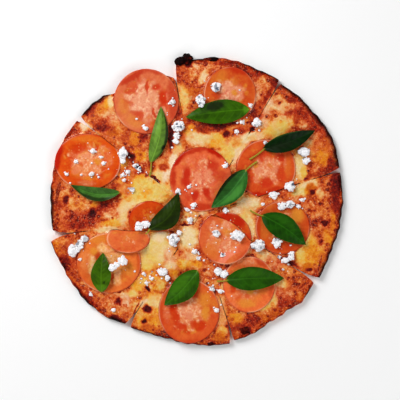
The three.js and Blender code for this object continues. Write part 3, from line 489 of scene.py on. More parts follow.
bakedTop = {
    "ground": (0.42, 0.32, 0.22),    # melt, yellow and mottle where no patch lies
    "rim": (0.3, 0.3, 0.24),        # and on the bare rim
    "rimBand": 9,                   # how far in the bare rim reaches
    "ragged": 2,                    # how far noise moves the patches' edges
    # What stands out on the cheese, laid on in this order: x, y, half length, half width,
    # turn, melt (0 burnt, 0.3 sauce, 0.9 pale cheese), yellow, mottle. A few dark patches beside
    # basil leaves and a crumb are painted shade and shadow, noted where they stand.
    "patches": [
        # Slice 1
        [3.5, 123.5, 27, 15.4, 0, 0.5, 0.25, 0.3], [-13.9, 106.1, 7.7, 32.8, 0, 0.34, 0.3, 0.2],
        [24.7, 135.1, 43.4, 4.8, 0, 0.28, 0.3, 0.15], [53.7, 117.7, 13.5, 13.5, -30, 0.2, 0.1, 0.12],
        [63.3, 111, 5.8, 7.7, 0, 0.62, 0.4, 0.25], [56.5, 101.3, 5.8, 13.5, 0, 0.55, 0.05, 0.2],
        [59.4, 85.9, 8.7, 6.8, -30, 0.08, 0.1, 0.05], [-12.9, 97.5, 5.8, 12.5, 0, 0.84, 0.8, 0.1],
        [-3.3, 104.2, 5.8, 3.9, 0, 0.36, 0.8, 0.1], [7.3, 119.7, 7.7, 2.7, 55, 0.9, 0.3, 0.06],
        [-8.1, 132.2, 3.9, 3.9, 0, 0.02, 0, 0.03], [30.5, 131.2, 8.7, 1.9, 0, 0.2, 0, 0.05],
        # Under leaf 1; its first patch is the leaf's painted shadow
        [26.6, 73.3, 27, 5.8, 5, 0.07, 0.3, 0.05], [-6.2, 74.3, 5.8, 3.9, 0, 0.15, 0.2, 0.1],
        [8.3, 66.6, 7.7, 4.8, 0, 0.5, 0.3, 0.25], [-6.2, 66.6, 6.8, 5.8, 0, 0.64, 0.9, 0.12],
        [3.5, 58.9, 14.5, 6.8, 0, 0.88, 0.4, 0.06], [20.8, 59.8, 7.7, 4.8, 0, 0.8, 1, 0.06],
        [37.2, 68.5, 7.7, 3.9, 0, 0.5, 0.4, 0.15], [45, 77.2, 5.8, 4.8, 0, 0.62, 0.5, 0.2],
        [44, 65.6, 5.8, 4.8, 0, 0.72, 0.1, 0.12], [28.6, 63.7, 3.4, 3.4, 0, 0.06, 0.1, 0.02],
        [19.9, 55, 8.7, 4.8, 0, 0.7, 1, 0.06], [34.4, 48.2, 13.5, 8.7, 20, 0.85, 0.8, 0.05],
        [30.5, 40.5, 5.8, 5.8, 0, 0.76, 0.9, 0.05], [49.8, 59.8, 9.7, 4.8, 35, 0.96, 0.4, 0.04],
        [40.1, 44.4, 11.6, 2.9, 63, 0.87, 0.2, 0.04], [58.5, 60.8, 7.7, 3.9, 20, 0.82, 0.3, 0.06],
        [53.2, 68, 3.3, 3.3, 0, 0, 0, 0.01],
        # Slice 2
        [100, 84.9, 28.9, 19.3, -45, 0.26, 0.1, 0.2], [77.8, 86.8, 17.4, 17.4, 0, 0.62, 0.3, 0.28],
        [69.1, 91.7, 4.8, 8.7, -30, 0.8, 0.15, 0.1], [84.5, 88.8, 3.9, 4.8, 0, 0.76, 0.4, 0.1],
        [88.4, 83, 4.8, 3.9, 0, 0.25, 0.1, 0.08], [91.3, 96.5, 4.8, 3.9, 0, 0.17, 0, 0.06],
        [100, 84, 7.7, 6.8, 0, 0.2, 0.05, 0.1], [106.7, 80.1, 7.7, 7.7, 0, 0.24, 0.05, 0.12],
        [83.6, 75.3, 15.4, 5.8, 10, 0.7, 0.45, 0.18], [77.8, 68.5, 13.5, 7.7, 12, 0.84, 0.9, 0.05],
        [63.3, 73.3, 5.8, 4.8, 0, 0.77, 0.05, 0.12], [102.9, 73.3, 5.8, 3.9, 0, 0.58, 0.3, 0.2],
        [119.3, 69.5, 6.8, 13.5, 35, 0.24, 0.05, 0.1], [110.6, 58.9, 8.7, 5.8, 30, 0.55, 0.15, 0.2],
        [110.6, 52.1, 5.8, 4.8, 0, 0.68, 0.5, 0.15], [117.3, 50.2, 5.8, 6.8, 0, 0.5, 0.4, 0.15],
        [122.2, 41.5, 9.7, 8.7, 0, 0.44, 1, 0.14], [125.1, 54, 4.8, 7.7, 0, 0.42, 0.5, 0.12],
        [130.9, 33.8, 3.9, 7.7, 10, 0.18, 0.05, 0.06], [119.3, 26.1, 14.5, 3.4, 15, 0.2, 0.3, 0.08],
        [100, 32.8, 5.3, 14.5, 0, 0.9, 0.5, 0.05], [103.8, 26.1, 3.4, 6.8, 0, 0.76, 1, 0.05],
        [105.8, 20.3, 2.9, 1.9, 0, 0.08, 0.3, 0.03],
        # Slice 3
        [121.2, -4.8, 15.4, 27, 0, 0.31, 0.35, 0.26], [134.7, 14.5, 5.8, 13.5, 0, 0.1, 0, 0.06],
        [134.7, -4.8, 3.9, 9.7, 0, 0.13, 0, 0.06], [105.8, 13.5, 11.6, 4.8, 20, 0.92, 0.35, 0.05],
        [100.9, 7.7, 7.7, 3.9, 15, 0.92, 0.75, 0.05], [113.5, 15.4, 4.8, 3.9, 0, 0.87, 0.25, 0.06],
        [110.6, 9.7, 5.8, 5.8, 0, 0.34, 0.9, 0.04], [112.5, 7.7, 3.5, 2.9, 0, 0.04, 0.1, 0.02],
        [120.2, 6.8, 3.9, 5.8, 0, 0.72, 0.4, 0.1], [114.4, -9.7, 7.7, 7.7, 0, 0.43, 0.3, 0.2],
        [124.1, -22.2, 4.8, 2.9, 0, 0.03, 0, 0.03], [131.8, -21.2, 2.5, 10.6, 0, 0.46, 1, 0.08],
        [127, -36.7, 3.9, 7.7, 20, 0.52, 1, 0.08], [119.3, -41.5, 3.9, 2.1, 20, 0.08, 0.05, 0.03],
        [108.7, -39.6, 7.7, 7.7, 0, 0.76, 1, 0.1], [111.6, -53.1, 13.5, 11.6, 0, 0.58, 1, 0.14],
        [100, -53.1, 3.9, 9.7, 0, 0.78, 1, 0.06], [121.2, -56, 3.9, 5.8, 0, 0.38, 0.8, 0.1],
        [107.7, -64.7, 4.8, 3.9, 0, 0.36, 0.9, 0.08], [90.3, -59.8, 8.7, 1.9, -30, 0.06, 0.1, 0.02],
        # The first patch here and the first on the next line are painted shade under leaf 4.
        [49.8, -2.9, 12.5, 6.8, 0, 0.91, 0.4, 0.05], [30.5, -2.9, 4.8, 3.9, 0, 0.62, 0.9, 0.08],
        [37.2, 5.8, 3.9, 6.8, 0, 0.16, 0.4, 0.05], [41.1, 4.8, 3.9, 5.8, 0, 0.72, 0.9, 0.06],
        [38.2, -10.6, 7.7, 3.9, 0, 0.88, 0.1, 0.08], [47.9, -17.4, 5.8, 9.7, -15, 0.8, 0.85, 0.05],
        [51.7, -28, 4.8, 10.6, 0, 0.86, 0.5, 0.05],
        # Slice 4
        [66.2, -55, 12.5, 4.8, -30, 0.8, 0.35, 0.1], [75.8, -60.8, 8.7, 5.8, -20, 0.52, 0.1, 0.15],
        [86.5, -72.4, 11.6, 7.7, 0, 0.56, 0.5, 0.2], [82.6, -86.8, 11.6, 11.6, 0, 0.36, 0.15, 0.18],
        [83.6, -80.1, 8.7, 3.9, 0, 0.7, 0.5, 0.1], [73.9, -92.6, 2.9, 12.5, 15, 0.74, 0.7, 0.08],
        [67.2, -101.3, 7.7, 4.8, 20, 0.76, 0.9, 0.08], [85.5, -99.4, 7.7, 4.3, 40, 0.22, 0.05, 0.1],
        [95.1, -77.2, 7.7, 7.7, 0, 0.36, 0.4, 0.2], [108.7, -67.5, 2.9, 1.9, 0, 0.06, 0.05, 0.03],
        [100, -94.6, 4.8, 4.8, 0, 0.4, 0.6, 0.1], [76.8, -109, 4.8, 3.9, 0, 0.33, 0.5, 0.08],
        [63.3, -113.9, 7.7, 3.9, 0, 0.34, 0.7, 0.12], [54.6, -118.7, 8.7, 5.8, 20, 0.16, 0.1, 0.1],
        [41.1, -121.6, 7.7, 4.8, 30, 0.18, 0.1, 0.1], [47.9, -126.9, 4.8, 3.5, 0, 0.05, 0, 0.01],
        [35.3, -130.3, 4.8, 3.9, 0, 0.33, 0.3, 0.1], [38.2, -113.9, 7.7, 4.8, 0, 0.5, 0.9, 0.1],
        # Slice 5
        [24.7, -109, 4.8, 17.4, 5, 0.64, 0.3, 0.08], [24.7, -126.4, 4.8, 4.8, 0, 0.72, 0.9, 0.05],
        [21.8, -132.2, 6.8, 4.8, 0, 0.36, 0.8, 0.12], [14.1, -138, 2.9, 1.9, 0, 0.02, 0, 0.01],
        [-44.8, -108.1, 17.4, 19.3, 0, 0.6, 0.95, 0.16], [-40, -96.5, 9.7, 6.8, 0, 0.84, 0.6, 0.06],
        [-52.5, -99.4, 5.8, 2.9, 20, 0.87, 0.15, 0.06], [-59, -107.1, 9.7, 1.1, 66, 0.08, 0.3, 0.02],
        [-54.4, -109, 3.9, 4.8, 0, 0.7, 0.8, 0.08], [-47.2, -105.2, 4.2, 4.1, 0, 0.03, 0, 0.01],
        [-50.6, -116.8, 3.5, 2.5, 20, 0.03, 0, 0.02], [-40, -115.8, 7.7, 4.8, 0, 0.5, 0.9, 0.1],
        [-45.7, -122.6, 7.7, 2.9, -15, 0.35, 0.5, 0.08],
        # Middle pools
        [-38, -48.2, 15, 16.4, 0, 0.89, 0.75, 0.02], [-35.1, -34.7, 7.7, 4.8, 20, 0.97, 0.3, 0.02],
        [-47.7, -59.8, 5.8, 9.7, 0, 0.85, 0.9, 0.03], [-31.3, -51.1, 5.8, 7.7, 0, 0.88, 0.5, 0.03],
        [-26.4, -54, 4.8, 7.7, 0, 0.72, 0.1, 0.1], [-7.1, -35.7, 9.2, 12.5, 0, 0.94, 0.45, 0.04],
        [-4.2, -55, 7.7, 4.8, 0, 0.74, 0.3, 0.1], [-12, -61.8, 8.7, 4.8, 0, 0.74, 0.9, 0.1],
        [0.6, -61.8, 4.8, 3.9, 0, 0.6, 1, 0.06], [-25.5, -63.7, 5.8, 4.8, 0, 0.88, 0.35, 0.06],
        [-21.6, -70.4, 4.8, 3.9, 0, 0.55, 0.8, 0.08], [10.2, -66.6, 4.8, 5.8, 0, 0.5, 0.3, 0.18],
        [-6.2, -16.4, 7.7, 5.8, 0, 0.72, 0.4, 0.18], [-12, -23.8, 4.8, 1.2, 0, 0.05, 0.1, 0.02],
        [7.3, -12.5, 4.8, 4.8, 0, 0.77, 0.3, 0.1],
        # Between the pools and slice 6
        [-44.8, -80.1, 15.4, 11.6, 0, 0.62, 0.8, 0.2], [-46.7, -85.9, 2.4, 2.9, 0, 0.02, 0, 0.02],
        [-57.3, -83, 5.8, 5.8, 0, 0.66, 1, 0.06], [-62.1, -90.7, 4.8, 3.9, 0, 0.82, 0.8, 0.05],
        [-35.1, -81.1, 3.9, 4.8, 0, 0.78, 0.7, 0.06],
        # Slice 6
        [-127.8, -59.8, 7.7, 23.2, 28, 0.28, 0.2, 0.15], [-131.6, -38.6, 6.8, 5.8, 0, 0.42, 0.4, 0.2],
        [-135.5, -45.4, 4.8, 5.8, 0, 0.48, 0.9, 0.15], [-129.7, -51.1, 4.8, 4.8, 0, 0.36, 0.6, 0.15],
        [-122, -41.5, 3.9, 5.8, 0, 0.42, 0.1, 0.12], [-125.8, -60.8, 4.8, 7.7, 20, 0.13, 0, 0.05],
        [-116.2, -56, 5.8, 7.7, 0, 0.28, 0.1, 0.08], [-117.2, -82, 13.5, 2.9, -52, 0.5, 0.5, 0.12],
        [-112.3, -87.8, 11.6, 1.9, -48, 0.18, 0.1, 0.05], [-99.8, -96.5, 8.7, 5.8, -35, 0.18, 0.05, 0.1],
        [-81.4, -96.5, 14.5, 6.8, 0, 0.5, 0.3, 0.2], [-74.7, -98.4, 3.5, 3.9, 0, 0.07, 0, 0.03],
        [-68.9, -95.5, 3.9, 6.8, 0, 0.72, 0.1, 0.12], [-75.7, -107.1, 8.7, 3.9, 0, 0.5, 0.4, 0.15],
        [-77.6, -113.9, 7.7, 2.5, -20, 0.08, 0.05, 0.05],
        # Slice 7
        [-108.5, 70.9, 4.8, 3.9, 0, 0.92, 0.1, 0.03], [-123.9, 67.5, 6.8, 5.8, 50, 0.25, 0.1, 0.08],
        [-131.6, 14.5, 7.7, 9.7, 0, 0.4, 0.3, 0.15], [-126.8, 5.8, 4.8, 4.8, 0, 0.58, 0.4, 0.2],
        [-131.6, -5.8, 5.8, 9.7, 0, 0.3, 0.3, 0.15], [-115.2, -3.9, 9.7, 6.8, 0, 0.6, 0.5, 0.2],
        [-96.9, -4.8, 5.8, 3.9, 0, 0.56, 1, 0.08], [-125.8, 0.5, 2.9, 3.9, 0, 0.06, 0, 0.03],
        [-127.8, -15.4, 4.8, 6.8, 0, 0.52, 0.2, 0.15], [-109.4, -17.4, 13.5, 7.7, 0, 0.25, 0.05, 0.22],
        # The second patch here is painted shadow below leaf 5.
        [-88.2, -7.7, 9.7, 6.8, 20, 0.12, 0, 0.1], [-82.4, 3.9, 13.5, 3.9, 20, 0.15, 0.1, 0.05],
        [-100.7, -12.5, 3.9, 4.8, 0, 0.03, 0, 0.03], [-117.2, -25.1, 13.5, 3.9, 0, 0.2, 0.1, 0.1],
        [-82.4, -14.5, 7.7, 6.8, 0, 0.6, 0.25, 0.28], [-80.5, -22.2, 11.6, 3.9, 5, 0.68, 1, 0.1],
        [-86.3, -28.5, 13.5, 2.5, 3, 0.87, 0.4, 0.05], [-69.9, -10.6, 4.8, 14.5, -8, 0.87, 0.45, 0.03],
        [-59.3, -1.9, 11.6, 2.9, 25, 0.92, 0.4, 0.03], [-69.9, 38.6, 4.8, 7.7, 0, 0.5, 0.8, 0.15],
        [-73.7, 19.3, 4.8, 7.7, 0, 0.55, 0.7, 0.12], [-67, 15.4, 3.9, 4.8, 0, 0.28, 0.2, 0.08],
        [-75.7, 12.5, 7.7, 2.9, 20, 0.3, 0.3, 0.1],
        # Slice 8
        [-75.7, 67.5, 28.9, 13.5, -35, 0.4, 0.3, 0.2], [-89.2, 72.4, 9.7, 5.8, -20, 0.22, 0.2, 0.12],
        [-93, 69.5, 5.8, 2.9, -30, 0.12, 0.1, 0.05], [-88.2, 84, 6.8, 3.9, 0, 0.74, 0.3, 0.15],
        [-95.9, 88.8, 7.7, 4.8, 0, 0.5, 0.8, 0.15], [-104.6, 84.9, 5.8, 4.8, 0, 0.23, 0.1, 0.1],
        [-87.2, 92.6, 2.9, 5.8, 0, 0.65, 1, 0.06], [-82.9, 94.6, 2.7, 7.7, 0, 0.94, 0.5, 0.03],
        [-77.6, 82, 4.8, 10.6, -35, 0.64, 0.1, 0.15], [-74.7, 69.5, 7.7, 5.8, 0, 0.5, 0.5, 0.2],
        [-80.5, 64.7, 5.8, 3.9, 0, 0.3, 0.8, 0.08], [-67.9, 60.8, 5.8, 4.8, 0, 0.35, 0.3, 0.1],
        [-59.3, 58.9, 4.8, 7.7, 0, 0.5, 0.9, 0.12], [-51.5, 62.7, 3.9, 7.7, 0, 0.2, 0, 0.08],
        # The second patch here is painted shadow beside a blue cheese crumb.
        [-55.4, 43.4, 7.7, 5.8, 0, 0.52, 1, 0.15], [-64.1, 42.5, 5.8, 3.9, -30, 0.05, 0.1, 0.04],
        [-56.4, 31.8, 4.8, 2.4, -20, 0, 0, 0.01], [-54.4, 27, 5.8, 2.9, 0, 0.22, 0.1, 0.08],
        [-56.4, 19.3, 7.7, 4.8, 0, 0.5, 1, 0.12],
        # Left of the middle
        [-46.7, 8.7, 24.1, 12.5, 0, 0.84, 1, 0.06], [-47.7, 7.7, 5.3, 3.5, 0, 0.68, 1, 0.03],
        [-37.1, 28.9, 7.7, 11.6, 20, 0.87, 0.5, 0.05], [-34.2, 35.7, 4.8, 4.8, 0, 0.55, 0.3, 0.1],
        [-39.5, 20.7, 5.3, 1.4, -42, 0.02, 0.2, 0.01], [-23.5, 35.7, 21.2, 3.9, 68, 0.95, 0.15, 0.03],
        # The second patch here is painted shadow along the right side of leaf 2.
        [-17.8, 49.2, 6.8, 3.3, 35, 0.8, 0.5, 0.06], [-24.5, 59.8, 2.5, 13.5, 0, 0.04, 0.1, 0.02],
        [-12.9, 67.5, 3.5, 15.4, 0, 0.42, 0.4, 0.1], [-17.8, 84.9, 4.8, 7.7, 0, 0.18, 0.1, 0.1],
        [68.1, 99.4, 14.5, 2.5, 62, 0.2, 0.15, 0.06], [15.1, 123.5, 4.8, 4.8, 0, 0.32, 0.3, 0.1],
        # The second patch here is darker sauce with painted shadow beside the foot of leaf 2.
        [-100.7, 90.7, 4.8, 3.9, 40, 0.15, 0.1, 0.06], [-31.3, 31.8, 4.8, 4.8, 0, 0.22, 0.3, 0.08],
        [-42.8, 33.8, 4.3, 5.8, 0, 0.26, 0.4, 0.08], [7.3, 67.5, 7.7, 3.9, -5, 0.2, 0.4, 0.06],
        [44, 67.5, 7.7, 3.9, 0, 0.27, 0.3, 0.1], [-66, 9.7, 4.8, 4.8, 0, 0.48, 0.35, 0.08],
        [61.4, 90.7, 3.9, 4.8, 0, 0.3, 0.3, 0.1], [26.6, -84, 3.9, 4.8, 0, 0.8, 0.6, 0.05],
        [38.2, 56, 4.8, 4.8, 0, 0.62, 0.6, 0.1], [-66, 21.2, 4.8, 4.8, 0, 0.45, 0.3, 0.1],
        [-135.5, 19.3, 2.9, 7.7, 0, 0.3, 0.2, 0.08], [96.1, 79.1, 3.9, 4.8, 0, 0.26, 0.2, 0.08],
        [75.8, 112.9, 3.9, 4.8, 60, 0.14, 0.1, 0.05],
    ],
    # Blackened edges: [slice, from, to (share of the way across, from its right end), width].
    "charredEdge": [
        [8, 0.66, 0.97, 3.6], [7, 0.62, 0.97, 3.8], [6, 0, 0.1, 1.5], [6, 0.5, 0.7, 3],
        [6, 0.85, 1, 4], [5, 0, 0.45, 2], [5, 0.45, 1, 1], [4, 0, 0.15, 1.5], [4, 0.2, 0.35, 1.5],
        [4, 0.6, 0.68, 1.5], [4, 0.85, 0.95, 1.6], [3, 0, 0.75, 3.6], [3, 0.75, 1, 1.8],
        [2, 0, 0.6, 4.4], [2, 0.6, 1, 3.6], [1, 0, 0.35, 2], [1, 0.6, 1, 2.4],
    ],
    "charStrength": 0.94,
    "edgeDarker": 0.14,         # how much lower the melt is along the edge
    # How far noise, blisters and drops of cheese move the melt where the mottle is 1.
    "clotSwing": 1.8, "blisterSwing": 2.4, "dropSwing": 1.3,
}


def paintedLevels(x, y, inset):
    # Melt, yellow and mottle at plan points: the ground, the rim over it, then the patches
    # in their order, each with an edge that noise makes ragged.
    top = bakedTop
    uneven = inset + 2.5 * layeredNoise(x, y, 7, 23)
    rim = 1 - smoothStep(top["rimBand"] - 4, top["rimBand"] + 3, uneven)
    levels = [mix(a, b, rim) for a, b in zip(top["ground"], top["rim"])]
    wx = x + top["ragged"] * layeredNoise(x, y, 4, 21)
    wy = y + top["ragged"] * layeredNoise(x, y, 4, 22)
    for middleX, middleY, halfX, halfY, turn, *own in top["patches"]:
        mask = ovalMask(wx, wy, middleX, middleY, halfX, halfY, turn, 0.45)
        levels = [mix(level, value, mask) for level, value in zip(levels, own)]
    return levels


def bakedTones(x, y, inset, number, share):
    # Melt: the painted level, lower over the outer 5 mm, moved up and down by a layered noise
    # of 5 mm as far as the mottle says, lowered by scattered dark blisters and raised by small
    # drops of pale cheese. Char follows the blackened edges and fades inwards.
    top = bakedTop
    level, yellow, mottle = paintedLevels(x, y, inset)
    level = level - top["edgeDarker"] * (1 - smoothStep(1, 5, inset + layeredNoise(x, y, 5, 38)))
    clots = layeredNoise(x, y, 5, 31, 4)
    bentX = x + 0.8 * softNoise(x, y, 2.5, 32)
    blister, own = scatteredSpots(bentX, y, 6.5, 41, 0.5)
    drop, ownDrop = scatteredSpots(bentX, y, 3.4, 51, 0.45)
    swing = top["clotSwing"] * clots - top["blisterSwing"] * smoothStep(0.05, 0.4, blister) * own
    swing = swing + top["dropSwing"] * smoothStep(0.1, 0.6, drop) * ownDrop
    melt = np.clip(level + mottle * swing, np.minimum(level, 0.15), level + 0.36)
    yellow = yellow + 0.35 * layeredNoise(x, y, 5, 33)
    char = np.zeros(x.shape)
    wobble = layeredNoise(x, y, 6, 36)
    for sliceNumber, start, end, width in top["charredEdge"]:
        along = smoothStep(start - 0.05, start + 0.05, share)
        along = along * (1 - smoothStep(end - 0.05, end + 0.05, share))
        reach = width * (1 + 0.5 * wobble) * along
        here = (number == sliceNumber) & (reach > 0.05)
        strength = 1 - smoothStep(0.3, 1.3, inset / np.maximum(reach, 0.05))
        char = np.where(here, np.maximum(char, top["charStrength"] * strength), char)
    smooth = smoothStep(0.6, 0.8, level) * (1 - smoothStep(0.05, 0.15, mottle))
    return {"melt": np.clip(melt, 0, 1), "yellow": np.clip(yellow, 0, 1), "char": char,
            "mottle": mottle, "smooth": smooth}


crustForm = {
    "profile": [[2.5, 6.4], [5, 5.6], [10, 4.4], [17, 4]],      # [inset, height]
    "wave": [[0, 0], [2.5, 1], [5, 0.7], [10, 0.2], [17, 0]],   # [inset, share of the waves]
    "rimWave": 0.7,
    "nose": 2.45,               # height of the outermost edge
    "noseHalf": 0.3,            # half its thickness
    "blister": 0.5,
    "rimWidth": 17,             # how far in the rim's slope reaches
    "columns": 200, "innerRows": 25,
    "rimRows": 14,              # outer rows that the underside has too
}

cheeseForm = {
    "clear": 0.25,
    "thickness": [[2.8, 0.05], [5, 0.7], [10, 2], [17, 2.55]],  # [inset, thickness]
    "relief": 0.45,
    "bareRim": 3.4, "ragged": 1.1,      # how far in it ends, and how unevenly
    "rows": 230, "columns": 175,
}


def rimWave(x, y):
    # Long waves in the rim's height: a sine along x times one along y.
    return np.sin(x * 0.11 + 1) * np.sin(y * 0.13) * crustForm["rimWave"]


def quarterRound(inset, reach):
    # From 0 at the edge to 1 at the reach, along a quarter of an ellipse.
    return np.sqrt(np.clip(1 - (1 - np.clip(inset / reach, 0, 1)) ** 2, 0, 1))


def crustTop(x, y, inset):
    # Flat dough, a slope up to the uneven rim, and a round nose.
    form = crustForm
    blister, own = scatteredSpots(x, y, 7, 61, 0.6)
    swell = smoothStep(0, 0.8, blister) * own * form["blister"] + 0.15 * layeredNoise(x, y, 2.5, 62)
    height = stepsAt(form["profile"], inset) + stepsAt(form["wave"], inset) * (rimWave(x, y) + swell)
    return mix(form["nose"] + form["noseHalf"], height, quarterRound(inset, 2.5))


def crustUnder(inset):
    # The underside: flat on the stone, rising in a quarter of an ellipse over the last 3 mm.
    return (crustForm["nose"] - crustForm["noseHalf"]) * (1 - quarterRound(inset, 3))


def cheeseTop(x, y, inset, tones):
    # The crust's height and the cheese's thickness, with lumps: pale cheese stands higher
    # than thin dark places. It dips under tomato slices and creeps up their walls.
    form = cheeseForm
    fine = 0.4 * layeredNoise(x, y, 3.2, 72) * (1 - 0.85 * tones["smooth"])
    relief = 0.5 * layeredNoise(x, y, 9, 71) + fine + 1.3 * (tones["melt"] - 0.45)
    level = stepsAt(crustForm["profile"], inset) + form["clear"] + stepsAt(form["thickness"], inset)
    level = level + stepsAt(crustForm["wave"], inset) * rimWave(x, y)
    height = level + form["relief"] * relief * smoothStep(3, 12, inset)
    floor = tomatoForm["base"] - 0.35
    for tomato in tomatoSlices:
        outside = (tomatoRatio(tomato, x, y) - 1) * min(tomato["rx"], tomato["ry"])
        near = outside < 4
        if tomato["on"]:
            near &= insideSlice(tomato["on"], x, y, -0.3)
        creep = height + 0.9 * np.exp(-np.clip(outside, 0, 9) / 1.2)
        dipped = mix(np.minimum(height, floor), creep, smoothStep(-0.9, 0.35, outside))
        height = np.where(near, dipped, height)
    return height


finishes = {
    # Screen colours (0 to 255) of the baked top, from burnt to pale: [melt, colour].
    "pinkRamp": [
        (0.0, (44, 10, 8)), (0.1, (104, 20, 12)), (0.25, (174, 48, 24)), (0.45, (213, 92, 48)),
        (0.65, (229, 147, 98)), (0.85, (238, 190, 148)), (1.0, (244, 216, 184)),
    ],
    "yellowRamp": [
        (0.0, (50, 16, 6)), (0.1, (114, 34, 10)), (0.25, (180, 68, 12)), (0.45, (220, 114, 18)),
        (0.65, (235, 156, 44)), (0.85, (231, 194, 94)), (1.0, (234, 214, 140)),
    ],
    "glossLight": 0.01,         # white that the gloss adds to every colour
    "char": (34, 11, 6),
    # Colour of the painted highlights: small glints as off oil on the cheese.
    "glintHighlightTone": (248, 172, 128),
    # Tones that all tomato slices share; the pale one also paints highlight, and the skin one
    # also paints shadow.
    "goldTone": (230, 150, 56),
    "paleAndHighlightTone": (250, 198, 156),
    "skinAndShadeTone": (190, 42, 26),
    "seedTone": (236, 176, 104),
    "roughness": {"crust": 0.62, "cheese": 0.45, "tomato": 0.32, "basil": 0.45, "crumb": 0.75},
}


def fromScreen(colour):
    # Linear values of a screen colour, less the white light that its gloss adds.
    c = np.array(colour) / 255
    linear = np.where(c <= 0.04045, c / 12.92, ((c + 0.055) / 1.055) ** 2.4)
    return tuple(np.maximum(linear - finishes["glossLight"], 0.1 * linear + 0.001).tolist())


def newMaterial(name, roughness, specular, coat=0.0, coatRoughness=0.2):
    # A node material with one shader, whose constant values are set on its own sockets.
    material = bpy.data.materials.new(name)
    material.use_nodes = True
    shader = material.node_tree.nodes["Principled BSDF"]
    shader.inputs["Roughness"].default_value = roughness
    shader.inputs["Specular IOR Level"].default_value = specular
    shader.inputs["Coat Weight"].default_value = coat
    shader.inputs["Coat Roughness"].default_value = coatRoughness
    return material, material.node_tree, shader


def attributeOf(tree, name):
    # A value that the mesh carries at its points.
    node = tree.nodes.new("ShaderNodeAttribute")
    node.attribute_name = name
    return node.outputs["Fac"]


def noiseOf(tree, size, detail=3, roughness=0.55):
    # Noise on Object coordinates, its features about size millimetres across: 0 to 1.
    place = tree.nodes.new("ShaderNodeTexCoord")
    node = tree.nodes.new("ShaderNodeTexNoise")
    node.inputs["Scale"].default_value = 1 / (size * mm)
    node.inputs["Detail"].default_value = detail
    node.inputs["Roughness"].default_value = roughness
    tree.links.new(place.outputs["Object"], node.inputs["Vector"])
    return node.outputs["Fac"]


def rangeOf(tree, value, low, high, newLow=0.0, newHigh=1.0):
    # Straight line from newLow at low to newHigh at high, held outside.
    node = tree.nodes.new("ShaderNodeMapRange")
    for key, number in (("From Min", low), ("From Max", high), ("To Min", newLow), ("To Max", newHigh)):
        node.inputs[key].default_value = number
    tree.links.new(value, node.inputs["Value"])
    return node.outputs["Result"]


def mathOf(tree, operation, a, b):
    # Sum or product of two values.
    node = tree.nodes.new("ShaderNodeMath")
    node.operation = operation
    tree.links.new(a, node.inputs[0])
    tree.links.new(b, node.inputs[1])
    return node.outputs[0]


def rampOf(tree, value, stops):
    # Colour by a value from 0 to 1, straight between stops of [value, screen colour].
    node = tree.nodes.new("ShaderNodeValToRGB")
    elements = node.color_ramp.elements
    elements[0].color = (*fromScreen(stops[0][1]), 1)
    elements[1].color = (*fromScreen(stops[-1][1]), 1)
    for position, colour in stops[1:-1]:
        elements.new(position).color = (*fromScreen(colour), 1)
    tree.links.new(value, node.inputs["Fac"])
    return node.outputs["Color"]


def mixColours(tree, factor, a, b, blend="MIX"):
    # Colour a where factor is 0, b where it is 1. Each is a socket or a linear colour.
    node = tree.nodes.new("ShaderNodeMix")
    node.data_type = "RGBA"
    node.blend_type = blend
    for socket, value in ((node.inputs[0], factor), (node.inputs[6], a), (node.inputs[7], b)):
        if isinstance(value, bpy.types.NodeSocket):
            tree.links.new(value, socket)
        elif isinstance(value, tuple):
            socket.default_value = (*value, 1)
        else:
            socket.default_value = value
    return node.outputs[2]


def addBump(tree, shader, height, strength, depth):
    # Small relief: the height value moves the surface by depth millimetres.
    node = tree.nodes.new("ShaderNodeBump")
    node.inputs["Strength"].default_value = strength
    node.inputs["Distance"].default_value = depth * mm
    tree.links.new(height, node.inputs["Height"])
    tree.links.new(node.outputs["Normal"], shader.inputs["Normal"])


def bakedMaterial(name, roughness, specular, coat):
    # Two ramps by the melt value, one pinker and one yellower, mixed by the yellow value.
    # Noise of 2 mm moves the melt up and down, more so where mottled. Noise of 1.3 mm puts
    # painted highlights, small glints as off oil, on mottled places, and char blackens all of it.
    material, tree, shader = newMaterial(name, roughness, specular, coat, 0.12)
    fine, wide, glintNoise = noiseOf(tree, 2, 3, 0.65), noiseOf(tree, 3.5, 3), noiseOf(tree, 1.3, 2)
    mottle = attributeOf(tree, "mottle")
    upAndDown = rangeOf(tree, fine, 0.25, 0.75, -1, 1)
    swing = mathOf(tree, "MULTIPLY", upAndDown, rangeOf(tree, mottle, 0, 0.3, 0.08, 0.24))
    melt = mathOf(tree, "ADD", attributeOf(tree, "melt"), swing)
    pink = rampOf(tree, melt, finishes["pinkRamp"])
    yellow = rampOf(tree, melt, finishes["yellowRamp"])
    colour = mixColours(tree, attributeOf(tree, "yellow"), pink, yellow)
    # Painted highlight: glints where the 1.3 mm noise peaks, on mottled places only.
    glint = rangeOf(tree, glintNoise, 0.58, 0.69)
    glint = mathOf(tree, "MULTIPLY", glint, rangeOf(tree, mottle, 0.04, 0.18, 0, 0.5))
    colour = mixColours(tree, glint, colour, fromScreen(finishes["glintHighlightTone"]))
    colour = mixColours(tree, attributeOf(tree, "char"), colour, fromScreen(finishes["char"]))
    tree.links.new(colour, shader.inputs["Base Color"])
    uneven = rangeOf(tree, wide, 0.3, 0.7, roughness - 0.12, roughness + 0.12)
    tree.links.new(uneven, shader.inputs["Roughness"])
    addBump(tree, shader, mathOf(tree, "ADD", fine, wide), 0.9, 0.8)
    return material


